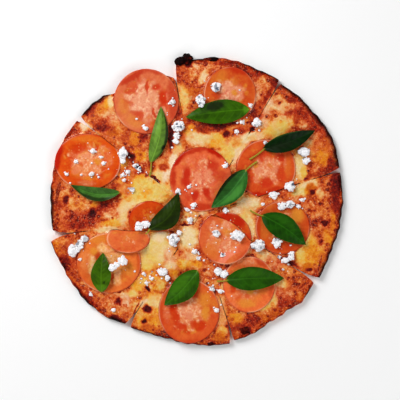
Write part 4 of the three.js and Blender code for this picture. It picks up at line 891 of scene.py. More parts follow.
def sliceShell(x, y, top, bottom, rimRows):
    # A closed skin over a grid: its top, four walls, and beneath it a grid for the outer
    # rows and plain strips from side to side for the rest. Also gives the rows and columns
    # of the grid that the points beneath stand under.
    rows, columns = x.shape
    first = rows - rimRows
    strip = np.arange(first)
    ids = np.arange(rows * columns).reshape(rows, columns)
    under = np.full((rows, columns), -1)
    count = rows * columns
    under[first:] = count + np.arange(rimRows * columns).reshape(rimRows, columns)
    count += rimRows * columns
    under[:first, 0] = count + strip
    under[:first, -1] = count + first + strip
    takeRows = np.concatenate([np.repeat(np.arange(first, rows), columns), strip, strip])
    takeColumns = np.tile(np.arange(columns), rimRows)
    takeColumns = np.concatenate([takeColumns, 0 * strip, 0 * strip + columns - 1])
    upper = np.stack([x, y, top], -1).reshape(-1, 3)
    lower = np.stack([grid[takeRows, takeColumns] for grid in (x, y, bottom)], -1)
    points = np.concatenate([upper, lower])
    faces = gridQuads(ids).tolist()
    faces += gridQuads(under[first:])[:, ::-1].tolist()
    low, high = under[:, 0], under[:, -1]
    faces += np.stack([low[:first - 1], high[:first - 1], high[1:first], low[1:first]], -1).tolist()
    faces.append([int(low[first - 1]), int(high[first - 1])] + under[first, ::-1].tolist())
    faces += np.stack([low[:-1], low[1:], ids[1:, 0], ids[:-1, 0]], -1).tolist()
    faces += np.stack([high[1:], high[:-1], ids[:-1, -1], ids[1:, -1]], -1).tolist()
    last, lastUnder = ids[-1], under[-1]
    faces += np.stack([lastUnder[:-1], lastUnder[1:], last[1:], last[:-1]], -1).tolist()
    faces.append([int(high[0]), int(low[0])] + ids[0].tolist())
    return points, faces, takeRows, takeColumns


def allOf(grid, takeRows, takeColumns):
    # A grid's values for all points of a slice's shell, the upper ones first.
    return np.concatenate([grid.reshape(-1), grid[takeRows, takeColumns]])


def makeCrust(number, material):
    # Rows of points from the tip to the nose, close together on the rim.
    form, gap = crustForm, slicePlan["crustGap"]
    share = np.linspace(0, 1, form["columns"])[None, :]
    edge = edgeRadius(number, share)
    start = tipRadius(number, gap)
    insets = np.concatenate([
        np.linspace(form["rimWidth"], 7, 10), np.linspace(6.5, 2.7, 10),
        2.5 * (1 - np.sin(np.linspace(0.05, np.pi / 2, 11))),
    ])[:, None]
    inner = np.linspace(0, 1, form["innerRows"] + 1)[:-1, None]
    radius = np.concatenate([start + (edge - form["rimWidth"] - start) * inner, edge - insets], 0)
    inset = edge - radius
    share = np.broadcast_to(share, radius.shape)
    x, y = slicePoints(number, share, radius, gap)
    top, bottom = crustTop(x, y, inset), crustUnder(inset)
    points, faces, *taken = sliceShell(x, y, top, bottom, form["rimRows"])
    px, py = points[:, 0], points[:, 1]
    numbers = np.full(len(points), number)
    tones = bakedTones(px, py, allOf(inset, *taken), numbers, allOf(share, *taken))
    tones.pop("smooth")
    isUnder = np.arange(len(points)) >= x.size
    tones["melt"] = np.where(isUnder, 0.5 + 0.2 * layeredNoise(px, py, 8, 37), tones["melt"])
    tones["yellow"] = np.where(isUnder, 0.9, tones["yellow"])
    makePiece(f"crustSlice{number}", points, faces, tones, material, [f"crust_{number}"])


def makeCheese(number, material):
    # An even grid from the tip to a ragged outer edge on the crust's rim.
    form = cheeseForm
    share = np.linspace(0, 1, form["columns"])[None, :]
    edge = edgeRadius(number, share)
    start = tipRadius(number, slicePlan["cheeseGap"])
    ragged = form["bareRim"] + form["ragged"] * softNoise(share * 100, share * 0, 4, 80 + number)
    along = np.linspace(0, 1, form["rows"])[:, None]
    radius = start + (edge - ragged - start) * along
    inset = edge - radius
    share = np.broadcast_to(share, radius.shape)
    x, y = slicePoints(number, share, radius, None)
    tones = bakedTones(x, y, inset, np.full(x.shape, number), share)
    top = cheeseTop(x, y, inset, tones)
    bottom = np.minimum(crustTop(x, y, inset) + 0.1, top - 0.15)
    points, faces, *taken = sliceShell(x, y, top, bottom, 1)
    tones.pop("smooth")
    values = {key: allOf(value, *taken) for key, value in tones.items()}
    makePiece(f"cheeseSlice{number}", points, faces, values, material, [f"cheese_{number}"])


crustMaterial = bakedMaterial("bakedCrust", finishes["roughness"]["crust"], 0.03, 0.0)
cheeseMaterial = bakedMaterial("meltedCheese", finishes["roughness"]["cheese"], 0.1, 0.36)
for number in range(1, 9):
    makeCrust(number, crustMaterial)
    makeCheese(number, cheeseMaterial)
print("crust and cheese made")


def tomatoReach(tomato, angles):
    # How far the slice goes from its pole in each direction, by halving the way 26 times.
    poleX, poleY = tomato["pole"]
    near, far = np.zeros(angles.shape), np.full(angles.shape, 80.0)
    for _ in range(26):
        middle = (near + far) / 2
        inside = tomatoCovers(tomato, poleX + middle * np.cos(angles), poleY + middle * np.sin(angles))
        near, far = np.where(inside, middle, near), np.where(inside, far, middle)
    return near


def tomatoPattern(tomato, x, y, index):
    # Masks of the cut face: a paler core with uneven arms, with pale and red flecks in it,
    # wet pockets of uneven strength between the arms, a streaky wall, and a skin that is
    # partly dark and partly pale, the pale part a painted highlight on its rounded edge.
    # Noise bends all of them. The slice's marks, some of them painted highlight or painted
    # shadow, are laid on before the flecks and the skin, each taking the place of what was there.
    seed = 200 + 20 * index
    u, v = (x - tomato["x"]) / tomato["rx"], (y - tomato["y"]) / tomato["ry"]
    radius = min(tomato["rx"], tomato["ry"])
    ratio = np.hypot(u, v)
    angle = np.arctan2(v, u) - np.radians(tomato["turn"])
    bend = 0.5 * layeredNoise(x, y, 13, seed, 2) + 0.22 * softNoise(x, y, 4, seed + 9)
    bent = angle + bend * smoothStep(0.1, 0.4, ratio)
    q = ratio + 0.12 * layeredNoise(x, y, 8, seed + 1)
    arms = 0.5 + 0.5 * np.cos(tomato["pockets"] * bent)
    uneven = smoothStep(-0.6, 0.5, softNoise(2 * np.cos(angle) + 9, 2 * np.sin(angle) + 9, 1, seed + 4))
    blotch = 0.5 + 0.5 * layeredNoise(x, y, 4, seed + 2)
    between = smoothStep(0.35, 0.8, 1 - arms + 0.5 * (blotch - 0.5))
    gel = smoothStep(0.28, 0.45, q) * (1 - smoothStep(0.66, 0.78, q)) * between
    gel = gel * uneven * min(1, 0.25 + tomato["gel"])
    core = 1 - smoothStep(tomato["core"] - 0.1, tomato["core"] + 0.15, q - 0.25 * arms * uneven)
    fibre = 0.5 + 0.5 * layeredNoise(x, y, 2.4, seed + 8)
    core = core * (0.4 + 0.5 * blotch + 0.4 * fibre)
    gold = 0.5 * smoothStep(0.15, 0.5, layeredNoise(x, y, 6, seed + 6)) * smoothStep(0.9, 0.7, ratio)
    streak = 0.5 + 0.3 * softNoise(angle * 17, ratio * 4, 1, seed + 7) * smoothStep(0.55, 0.75, q)
    streak = np.clip(streak + 0.9 * (blotch - 0.5) + 0.35 * layeredNoise(x, y, 11, seed + 3), 0, 1)
    nothing = np.zeros(x.shape)
    masks = {"gel": gel, "core": np.clip(core, 0, 1), "gold": gold, "paleFleshAndHighlight": nothing, "darkAndPaintedShade": nothing}
    wx, wy = x + 1.6 * layeredNoise(x, y, 3.5, 23), y + 1.6 * layeredNoise(x, y, 3.5, 24)
    for kind, middleX, middleY, halfX, halfY, turn, strength in tomato["marks"]:
        mask = ovalMask(wx, wy, middleX, middleY, halfX, halfY, turn, 0.5) * max(strength, 0.6)
        for key in masks:
            masks[key] = mix(masks[key], strength if key == kind else 0, mask)
    inner = smoothStep(0.8, 0.55, q)
    masks["gel"] = np.maximum(masks["gel"], 0.3 * inner * smoothStep(0.65, 0.85, fibre))
    masks["gold"] = np.maximum(masks["gold"], 0.4 * inner * smoothStep(0.4, 0.2, fibre))
    fleck = 0.5 + 0.5 * layeredNoise(x, y, 1.9, seed + 12)
    masks["paleFleshAndHighlight"] = np.maximum(masks["paleFleshAndHighlight"], 0.85 * masks["core"] * smoothStep(0.55, 0.7, fleck))
    masks["gel"] = np.maximum(masks["gel"], 0.5 * masks["core"] * smoothStep(0.42, 0.28, fleck))
    spot, own = scatteredSpots(x, y, 3.8, seed + 5, 0.6, 0.3)
    masks["seed"] = 0.6 * smoothStep(0.2, 0.6, spot) * masks["gel"] * (own > 0.5)
    thin = tomatoForm["skin"] / radius
    skin = smoothStep(1 - thin * 1.3, 1 - thin * 0.4, ratio)
    masks["darkAndPaintedShade"] = np.maximum(masks["darkAndPaintedShade"], 0.5 * skin * uneven)
    # Painted highlight: the pale part of the skin ring, where the rounded edge would catch light.
    masks["paleFleshAndHighlight"] = np.maximum(masks["paleFleshAndHighlight"], 0.5 * skin * (1 - uneven))
    masks["streak"] = streak
    return masks


def tomatoHeight(tomato, x, y, pattern):
    # Top of the cut face: pockets sink, seeds stand up in them, the core sinks a little.
    top = tomatoForm["base"] + tomatoForm["thick"] + tomatoLean(tomato, x, y)
    return top - 0.6 * pattern["gel"] + 0.3 * pattern["seed"] - 0.15 * pattern["core"] - 0.05


def tomatoMaterial(name, tomato):
    # Wall, core, golden, pale and wet colours by the surface's own masks, pale seeds and a
    # dark skin, with light streaks and a fine noise that darkens it a little. The pale colour
    # also paints highlight, and the skin colour also paints shadow, where the masks say.
    material, tree, shader = newMaterial(name, finishes["roughness"]["tomato"], 0.1, 0.1, 0.28)
    wall = fromScreen(tomato["wall"])
    redder = tuple(c * s for c, s in zip(wall, (0.93, 0.72, 0.75)))
    lighter = tuple(min(1, c * s) for c, s in zip(wall, (1.05, 1.3, 1.4)))
    colour = mixColours(tree, attributeOf(tree, "streak"), redder, lighter)
    tones = {
        "core": tomato["coreTone"], "gold": finishes["goldTone"], "paleFleshAndHighlight": finishes["paleAndHighlightTone"],
        "gel": tomato["gelTone"], "seed": finishes["seedTone"], "darkAndPaintedShade": finishes["skinAndShadeTone"],
    }
    for key, tone in tones.items():
        colour = mixColours(tree, attributeOf(tree, key), colour, fromScreen(tone))
    fine = noiseOf(tree, 1.6, 2)
    shade = mixColours(tree, rangeOf(tree, fine, 0.3, 0.7), (0.88, 0.80, 0.78), (1.0, 1.0, 1.0))
    colour = mixColours(tree, 0.8, colour, shade, "MULTIPLY")
    tree.links.new(colour, shader.inputs["Base Color"])
    addBump(tree, shader, fine, 0.35, 0.2)
    return material


def makeTomato(index, tomato):
    # Rings from the pole out to the reach, round the upper edge, down the side and back in.
    angles = np.linspace(0, 2 * np.pi, tomatoForm["directions"], endpoint=False)
    reach = tomatoReach(tomato, angles)[None, :]
    edgeRound = tomatoForm["edgeRound"]
    flatRings, roundRings = tomatoForm["flatRings"], tomatoForm["roundRings"]
    turn = np.linspace(0, np.pi / 2, roundRings + 1)[1:, None]
    sideShares = (0.35, 0.7, 1.0)
    flat = np.linspace(0, 1, flatRings + 1)[1:, None] * (reach - edgeRound)
    rounded = reach - edgeRound * (1 - np.sin(turn))
    side = np.repeat(reach, len(sideShares), 0)
    beneath = reach * np.array([0.97, 0.6, 0.25])[:, None]
    distance = np.concatenate([flat, rounded, side, beneath])
    poleX, poleY = tomato["pole"]
    x, y = poleX + distance * np.cos(angles), poleY + distance * np.sin(angles)
    pattern = tomatoPattern(tomato, x, y, index)
    top = tomatoHeight(tomato, x, y, pattern)
    base = tomatoForm["base"] + tomatoLean(tomato, x, y)
    z = top.copy()
    z[flatRings:flatRings + roundRings] -= edgeRound * (1 - np.cos(turn))
    for ring, share in enumerate(sideShares, flatRings + roundRings):
        z[ring] = mix(z[flatRings + roundRings - 1], base[ring], share)
    z[-3:] = base[-3:]
    for key in ("gel", "core", "gold", "seed", "streak"):
        pattern[key][flatRings + roundRings:] = 0
    pole = np.array([[poleX]]), np.array([[poleY]])
    poleBase = float(tomatoForm["base"] + tomatoLean(tomato, *pole)[0, 0])
    polePattern = tomatoPattern(tomato, *pole, index)
    poleTop = float(tomatoHeight(tomato, *pole, polePattern)[0, 0])
    points, faces = ringShell(np.stack([x, y, z], -1), (poleX, poleY, poleTop), (poleX, poleY, poleBase))
    values = {key: np.append(pattern[key].reshape(-1), [polePattern[key][0, 0], 0]) for key in pattern}
    material = tomatoMaterial(f"tomatoFlesh{index}", tomato)
    makePiece(f"tomatoSlice{index}", points, faces, values, material, [f"tomato_{index}"])


for index, tomato in enumerate(tomatoSlices, 1):
    makeTomato(index, tomato)
print("tomato slices made")


basilForm = {
    "thick": 0.5, "stemRadius": 0.75,
    "sideVeins": 7,
    "quilt": 0.13,              # how far the leaf bulges between side veins
    "highest": 16.4,
    "stemTone": (158, 146, 52),
    "rows": 110, "columns": 41,
}

# Marks: lighter (above 0) or darker places, as (share of the length, side, reach along,
# reach across, value). Side runs from -1 to 1, 1 being left as seen along the leaf. They
# are mostly painted light and shade: highlights where a blade turns to the light, shade
# where it turns away, and shadow from what lies on or beside it.
basilLeaves = [
    # Leaf 1: its first mark is painted shadow.
    {"base": (51.1, 87.2), "tip": (-10.1, 79.8), "width": 23.2, "fold": -0.16, "bend": -1,
     "tone": (60, 100, 8), "marks": [
         (0.54, -0.55, 0.2, 0.52, -0.88), (0.04, 0, 0.07, 1, 0.8), (0.75, 0.2, 0.15, 0.5, -0.35)]},
    {"base": (-44, 36), "tip": (-34, 90), "stem": (-45, 23), "width": 16.4, "fold": -0.3, "bend": -4,
     "tone": (102, 140, 54), "marks": [
         (0.55, -0.9, 0.45, 0.3, -0.9), (0.3, -0.9, 0.05, 0.35, -1), (0.6, 0.35, 0.3, 0.3, 0.35)]},
    {"base": (64, 49), "tip": (114.4, 67), "stem": (51, 39), "width": 17.4, "fold": 0.3, "bend": -2,
     "tone": (18, 46, 0), "marks": [
         (0.4, 0.97, 0.42, 0.14, 0.9), (0.92, 0.2, 0.1, 0.6, 0.15), (0.3, -0.2, 0.3, 0.5, -0.5)]},
    # Leaf 4: painted highlight on its right half, painted shade on its upper left.
    {"base": (48, 29), "tip": (14.3, -7.7), "stem": (58.5, 37), "width": 21.2, "fold": 0.12, "bend": 3,
     "tone": (54, 106, 46), "marks": [
         (0.5, 0.45, 0.35, 0.35, 0.6), (0.45, -0.9, 0.5, 0.3, -0.95), (0.5, -0.4, 0.4, 0.35, -0.35)]},
    {"base": (-73.7, 7.1), "tip": (-120.6, 14.5), "width": 13.5, "fold": 0.55, "bend": 5,
     "tone": (74, 120, 50), "marks": [(0.5, 0.75, 0.5, 0.35, -0.8), (0.93, 0, 0.1, 1, -0.6)]},
    {"base": (-45.7, -28.5), "tip": (-17.3, 6.8), "stem": (-48.6, -32.8), "width": 20.5,
     "fold": -0.15, "bend": -7, "tone": (44, 58, 2), "marks": [
         (0.45, -0.4, 0.3, 0.3, -0.4), (0.6, 0.5, 0.3, 0.3, 0.2)]},
    {"base": (63, -14.5), "tip": (105, -43), "stem": (51.7, -10), "width": 23.2, "fold": 0.14, "bend": 2,
     "tone": (40, 82, 10), "marks": [(0.4, 0.5, 0.3, 0.35, 0.2), (0.6, -0.6, 0.3, 0.3, -0.3)]},
    {"base": (-91.1, -88.8), "tip": (-89.8, -50.7), "width": 19.3, "fold": 0.16, "bend": 1,
     "tone": (68, 104, 16), "marks": [
         (0.25, -0.35, 0.05, 0.13, -0.7), (0.25, 0.5, 0.04, 0.1, -0.4), (0.1, 0, 0.12, 1, 0.4),
         (0.75, -0.4, 0.2, 0.5, -0.35)]},
    {"base": (1.3, -67.9), "tip": (-30.8, -101.1), "width": 23.2, "fold": 0.12, "bend": 2,
     "tone": (56, 100, 24), "marks": [(0.5, -0.5, 0.4, 0.45, 0.35), (0.5, 0.7, 0.5, 0.3, -0.4)]},
    {"base": (28.4, -77), "tip": (84.5, -75.3), "stem": (19.7, -78), "width": 22.7, "fold": 0.15, "bend": 1,
     "tone": (46, 88, 14), "marks": [(0.4, 0.5, 0.3, 0.4, 0.25), (0.8, -0.4, 0.2, 0.4, -0.3)]},
]


def basilMaterial(name, leaf):
    # The leaf's green, mottled darker by noise of 6 mm, lighter and yellower on veins and
    # light marks, nearly black on dark ones, and straw-coloured at its foot and stem. The
    # light marks are mostly painted highlight and the dark ones mostly painted shade and shadow.
    material, tree, shader = newMaterial(name, finishes["roughness"]["basil"], 0.05, 0.07, 0.3)
    wide, fine = noiseOf(tree, 6, 2), noiseOf(tree, 1.2, 2)
    tone = fromScreen(leaf["tone"])
    darker = tuple(c * 0.62 for c in tone)
    lighter = tuple(c * 1.9 + s for c, s in zip(tone, (0.02, 0.035, 0.006)))
    veins = tuple(c * 1.9 + s for c, s in zip(tone, (0.006, 0.012, 0.003)))
    colour = mixColours(tree, rangeOf(tree, wide, 0.35, 0.65), darker, tone)
    # Painted highlight, with some of the leaf's own lighter places: the light marks.
    colour = mixColours(tree, attributeOf(tree, "lighterAndHighlight"), colour, lighter)
    colour = mixColours(tree, attributeOf(tree, "vein"), colour, veins)
    # Painted shade and shadow, with some of the leaf's own dark patches: the dark marks.
    colour = mixColours(tree, attributeOf(tree, "darkAndPaintedShade"), colour, (0.006, 0.008, 0.002))
    colour = mixColours(tree, attributeOf(tree, "stalk"), colour, fromScreen(basilForm["stemTone"]))
    tree.links.new(colour, shader.inputs["Base Color"])
    addBump(tree, shader, fine, 0.4, 0.12)
    return material


def midribHeights(node, leaf, along, length, across):
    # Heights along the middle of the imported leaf's top, as a smooth cubic through them.
    vertices = np.empty(len(node.data.vertices) * 3)
    node.data.vertices.foreach_get("co", vertices)
    vertices = vertices.reshape(-1, 3) / mm
    offset = vertices[:, :2] - np.array(leaf["base"])
    share, side = offset @ along / length, offset @ across
    shares, heights = [], []
    for step in range(8):
        at = step / 7
        close = (np.abs(share - at) < 0.02) & (np.abs(side - leaf["bend"] * np.sin(np.pi * at)) < 0.3)
        if close.any():
            shares.append(at)
            heights.append(vertices[close, 2].max())
    return np.polyfit(shares, heights, 3)


def makeLeaf(index, leaf):
    # A pointed oval blade over (share of its length, side), arched along its midrib, folded
    # in two halves, with quilted relief between curved side veins. A round stem joins it.
    base, tip = np.array(leaf["base"]), np.array(leaf["tip"])
    length = np.hypot(*(tip - base))
    along = (tip - base) / length
    across = np.array([-along[1], along[0]])
    fit = midribHeights(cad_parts[f"basil_{index}"], leaf, along, length, across)
    share = np.linspace(0.003, 1, basilForm["rows"])[:, None]
    side = np.linspace(-1, 1, basilForm["columns"])[None, :]
    half = np.sin(np.pi * np.clip(share, 0, 1) ** 0.82) ** 0.85
    half = np.maximum(0.25, leaf["width"] / 2 * half)
    offset = side * half
    sideways = offset + leaf["bend"] * np.sin(np.pi * share)
    x = base[0] + along[0] * share * length + across[0] * sideways
    y = base[1] + along[1] * share * length + across[1] * sideways
    ripple = 0.5 * np.abs(side) * np.sin(share * 13 + side * 2)
    flow = share * length - 0.75 * np.abs(offset) - 0.02 * offset ** 2
    phase = flow / (length / (basilForm["sideVeins"] + 1)) + 0.25 * np.sign(side)
    sideVein = np.exp(-((phase - np.round(phase)) / 0.055) ** 2)
    sideVein = sideVein * smoothStep(1.0, 0.5, np.abs(side)) * (np.abs(side) > 0.03)
    midrib = np.exp(-(offset / 0.42) ** 2) * (1 - 0.6 * share)
    quilt = basilForm["quilt"] * (0.5 - 0.5 * np.cos(2 * np.pi * phase))
    quilt = quilt * smoothStep(0, 0.25, np.abs(side)) * smoothStep(1, 0.7, np.abs(side))
    z = np.polyval(fit, share) + leaf["fold"] * np.abs(offset) + ripple + quilt - 0.2 * midrib
    z = np.minimum(np.broadcast_to(z, x.shape), basilForm["highest"])
    upper = np.stack([x, y, z], -1).reshape(-1, 3)
    lower = upper - [0, 0, basilForm["thick"]]
    count = len(upper)
    ids = np.arange(count).reshape(x.shape)
    faces = gridQuads(ids).tolist() + gridQuads(ids + count)[:, ::-1].tolist()
    loop = np.concatenate([ids[:, 0], ids[-1, 1:], ids[-2::-1, -1], ids[0, -2:0:-1]])
    following = np.roll(loop, -1)
    faces += np.stack([loop, loop + count, following + count, following], -1).tolist()
    vein = np.clip(np.maximum(midrib * 0.75, 0.28 * sideVein), 0, 1)
    # Painted light and shade, with some of the leaf's own patches, from the leaf's marks.
    marks = np.zeros(x.shape)
    for atShare, atSide, reachShare, reachSide, value in leaf["marks"]:
        away = np.hypot((share - atShare) / reachShare, (side - atSide) / reachSide)
        marks = mix(marks, value, 1 - smoothStep(0.5, 1.2, away + 0.2 * layeredNoise(x, y, 4, 400)))
    values = {"vein": vein, "lighterAndHighlight": np.clip(marks, 0, 1), "darkAndPaintedShade": np.clip(-marks, 0, 1),
              "stalk": 0.6 * (1 - smoothStep(0, 0.06, share)) * np.exp(-(offset / 0.9) ** 2)}
    values = {key: np.concatenate([value.reshape(-1)] * 2) for key, value in values.items()}
    points = np.concatenate([upper, lower])
    if "stem" in leaf:
        stem = stemTube(leaf, base, along, float(np.polyval(fit, 0)))
        points, faces = joinParts([(points, faces), stem])
        added = len(stem[0])
        values = {key: np.append(value, np.full(added, key == "stalk")) for key, value in values.items()}
    material = basilMaterial(f"basilGreen{index}", leaf)
    makePiece(f"basilLeaf{index}", points, faces, values, material, [f"basil_{index}"])


def stemTube(leaf, base, along, height):
    # A circle carried along a line that starts in the blade and bends a little to its end.
    end = np.array(leaf["stem"])
    share = np.linspace(0, 1, 14)[:, None]
    start = base + along * 2
    path = mix(start, end, share)
    direction = (end - start) / np.hypot(*(end - start))
    normal = np.array([-direction[1], direction[0]])
    path = path + normal * 0.6 * np.sin(np.pi * share)
    around = np.linspace(0, 2 * np.pi, 10, endpoint=False)[None, :]
    radius = basilForm["stemRadius"] * (0.75 + 0.35 * share)
    x = path[:, :1] + normal[0] * radius * np.cos(around)
    y = path[:, 1:] + normal[1] * radius * np.cos(around)
    z = height - 0.35 + radius * np.sin(around) + 0 * share
    rings = np.stack([x, y, z], -1)[:, ::-1]
    return ringShell(rings, rings[0].mean(0), rings[-1].mean(0))


for index, leaf in enumerate(basilLeaves, 1):
    makeLeaf(index, leaf)
print("basil leaves made")


crumbForm = {
    "heightShare": 0.45,        # height as a share of the width
    "flat": 0.45,               # a ball is cut flat this share of half its height under its middle
    "highest": 16.4,
    "greyTone": (236, 233, 233), "tone": (249, 249, 252), "veinTone": (50, 62, 88),
    "lumps": 14,                # smaller lumps round each main one
    "bits": 3,                  # bits fallen off each small crumb
    "specks": 190,              # finest crumbs, before those off the cheese are left out
    # Rows, columns and roughness of their balls.
    "mainBall": (34, 48, 0.36), "lumpBall": (12, 18, 0.5),
    "smallBall": (14, 20, 0.5), "bitBall": (5, 8, 0.5), "speckBall": (4, 7, 0.4),
}

# Lumps of each large crumb, as [x, y, width, depth].
largeCrumbs = [
    [[19, 109, 9, 10]],
    [[4, 95, 8.5, 12]],
    [[-17, 71, 12, 12], [-19, 62, 6, 7], [-20, 56.5, 6.5, 6]],
    [[58, 75, 9, 10]],
    [[-71, 45, 9, 11], [-71, 37.5, 6, 6]],
    [[104.5, 46, 12, 10], [105.5, 37.5, 8, 8]],
    [[90, 13, 10.5, 10]],
    [[74.5, 4, 9, 8]],
    [[82, -6, 9, 8], [90.5, -4, 9, 8]],
    [[19, -32, 8, 8]],
    [[39, -34, 14, 11.5]],
    [[59, -44, 13.5, 11.5]],
    [[77.5, -41, 9, 9.5]],
    [[91.5, -53.5, 7, 10], [85.5, -58, 7.5, 6]],
    [[-55, -25, 8.5, 10], [-48, -23, 8.5, 7.5]],
    [[-22.5, -38.5, 11, 13.5], [-16.5, -31.5, 5.5, 5.5]],
    [[-119, -49, 12, 12], [-112.5, -43, 9, 9], [-107.5, -37, 8, 7]],
    [[-70.5, -58, 9.5, 9.5], [-76, -62, 7, 6], [-80.5, -65, 8, 7.5]],
    [[-32.5, -69.5, 10.5, 8], [-28, -75, 5, 6.5]],
    [[21, -69, 8.5, 8.5], [27, -71.5, 8.5, 8]],
]

smallCrumbs = [
    [-23, 94, 6.8], [-49, 69, 6.3], [52, 91, 4.8], [39, 66, 5], [44, 75, 5], [-100, 47, 6.3],
    [-116, 37, 4.8], [-125, 25, 4.4], [-101, 25, 5.8], [-91.8, 41.2, 3.6], [-59, 33, 5.8],
    [-55, 30, 4.8], [-66, 27, 5.8], [-71, 24, 5], [-70, 19, 4.2], [-62, 10, 6.3],
    [102, 0, 5], [98, -6, 5], [28, 33, 5.8], [-7, 13, 4.6], [-18, 8.5, 6], [-3, -5, 6.3],
    [-9, -9, 5], [-6, -19, 6.8], [28, -10, 6.8], [80, -55, 4.2], [-102, -91, 4.8],
    [-80, -106, 5], [-43, -76, 4.6], [-51, -71, 4.4], [-48, -80, 4.4], [-2, -50, 6.6],
    [2, -56, 4.4], [15, -86, 6.4], [23, -88, 5.8], [19, -106, 6], [25, -53, 5.4],
    [-112, -57, 3.6], [-89.2, 35.4, 4.8], [64, -4, 4], [-26, -24, 4.6], [66.2, 55.6, 4.4],
]

# Black-blue bits in the crumbs, as [x, y, radius, strength].
blueBits = [
    [19.5, 106.5, 2.2, 0.9], [3.5, 92.5, 1.8, 0.7], [2, 99, 1.5, 0.5], [-18.7, 73.3, 1.7, 0.8],
    [-14.5, 70.2, 1.5, 0.8], [-17.8, 70.4, 1.6, 0.8], [100, 42.5, 2.6, 0.5], [103, 40.5, 1.6, 0.8],
    [92.7, 15, 1.6, 0.9], [57, 72, 1.8, 0.4], [62, -46, 1.9, 0.5], [56, -41, 1.7, 0.5],
    [-114.3, -41.5, 3.2, 0.7], [-107, -37, 2.4, 0.5], [-57.3, 31.8, 1.6, 0.9], [-54.4, 30.9, 1.5, 0.9],
    [25.2, -52.6, 1.6, 0.9], [2.5, -97, 2, 0.6], [-62, 11.6, 2, 0.5], [76, -38, 1.6, 0.5],
    [-70, 43, 1.7, 0.5], [-21, -42, 1.8, 0.4], [41, -36, 1.8, 0.35],
]


def crumbMaterial(name):
    # White, greyer in patches by a fine noise, with blue-grey veins by the blue value.
    material, tree, shader = newMaterial(name, finishes["roughness"]["crumb"], 0.05)
    fine = noiseOf(tree, 1.1, 3)
    greyer, white, vein = [fromScreen(crumbForm[key]) for key in ("greyTone", "tone", "veinTone")]
    colour = mixColours(tree, rangeOf(tree, fine, 0.3, 0.6), greyer, white)
    colour = mixColours(tree, attributeOf(tree, "blue"), colour, vein)
    tree.links.new(colour, shader.inputs["Base Color"])
    addBump(tree, shader, fine, 0.8, 0.3)
    return material


def lumpBalls(middles, sizes, seeds, rows, columns, rough):
    # Balls as grids of latitude and longitude, all at once. Each point moves out or in by
    # noises of its direction, one coarse and two finer, and is cut flat beneath.
    polar = np.linspace(0, np.pi, rows + 2)[1:-1][None, :, None]
    around = np.linspace(0, 2 * np.pi, columns, endpoint=False)[None, None, :]
    dx, dy = np.sin(polar) * np.cos(around), np.sin(polar) * np.sin(around)
    dz = np.cos(polar) + 0 * around
    shift = np.asarray(seeds, float)[:, None, None] * 7.31
    coarse = softNoise3(dx + shift, dy, dz, 0.75, 5)
    medium = softNoise3(dx + shift, dy, dz, 0.34, 6)
    tiny = softNoise3(dx + shift, dy, dz, 0.16, 7)
    reach = 1 + rough * (0.6 * coarse + 0.4 * medium + 0.25 * tiny)
    local = np.stack([dx * reach, dy * reach, np.maximum(dz * reach, -crumbForm["flat"])], -1)
    poles = np.zeros((len(seeds), 2, 3))
    poles[:, 0, 2] = reach[:, 0].mean(-1)
    poles[:, 1, 2] = -crumbForm["flat"]
    count = rows * columns
    local = np.concatenate([local.reshape(len(seeds), count, 3), poles], 1)
    points = local * (np.asarray(sizes, float)[:, None] / 2) + np.asarray(middles, float)[:, None]
    ids = np.arange(count).reshape(rows, columns)
    ids = np.concatenate([ids, ids[:, :1]], 1)
    quads = gridQuads(ids)
    top = np.stack([np.full(columns, count), ids[0, :-1], ids[0, 1:]], -1)
    bottom = np.stack([np.full(columns, count + 1), ids[-1, 1:], ids[-1, :-1]], -1)
    starts = (np.arange(len(seeds)) * (count + 2))[:, None, None]
    faces = (quads[None] + starts).reshape(-1, 4).tolist()
    for fan in (top, bottom):
        faces += (fan[None] + starts).reshape(-1, 3).tolist()
    return points.reshape(-1, 3), faces


def blueVeins(points, amount):
    # Veins where a noise in space of 3.2 mm crosses zero, in some parts only, and the bits.
    x, y, z = points[:, 0], points[:, 1], points[:, 2]
    line = np.abs(softNoise3(x, y, z, 3.2, 8))
    where = softNoise3(x, y, z, 6, 9)
    blue = 0.7 * (1 - smoothStep(0.05, 0.2, line)) * smoothStep(0.3 - amount, 0.7 - amount, where)
    for bitX, bitY, radius, strength in blueBits:
        away = np.hypot(x - bitX, y - bitY) / radius + 0.8 * softNoise3(x, y, z, 1.1, 11)
        blue = np.maximum(blue, strength * (1 - smoothStep(0.6, 1.1, away)))
    return blue


def makeCrumb(index, lumps, material):
    # One or more main lumps, each with smaller lumps stuck round it.
    random = np.random.default_rng(500 + index)
    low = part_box(f"crumb_{index}")[0][2] / mm
    heights = [crumbForm["heightShare"] * (sx + sy) / 2 for _, _, sx, sy in lumps]
    z = low + crumbForm["flat"] * max(heights) / 2
    parts = []
    for k, ((x, y, sx, sy), height) in enumerate(zip(lumps, heights)):
        main = [(sx * 0.8, sy * 0.8, height)]
        parts.append(lumpBalls([(x, y, z)], main, [index * 9 + k], *crumbForm["mainBall"]))
        count = crumbForm["lumps"]
        angle = random.uniform(0, 2 * np.pi, count)
        out = random.uniform(0.26, 0.44, count)
        lift = height * random.uniform(-0.12, 0.3, count)
        middles = np.stack([x + sx * out * np.cos(angle), y + sy * out * np.sin(angle), z + lift], -1)
        size = random.uniform(0.16, 0.36, count) * (sx + sy) / 2
        sizes = np.stack([size, size * random.uniform(0.7, 1.1, count), size * 0.8], -1)
        seeds = index * 50 + k * 10 + np.arange(count)
        parts.append(lumpBalls(middles, sizes, seeds, *crumbForm["lumpBall"]))
    points, faces = joinParts(parts)
    points[:, 2] = np.minimum(points[:, 2], crumbForm["highest"])
    values = {"blue": blueVeins(points, 0.15)}
    makePiece(f"blueCheeseCrumb{index}", points, faces, values, material, [f"crumb_{index}"])


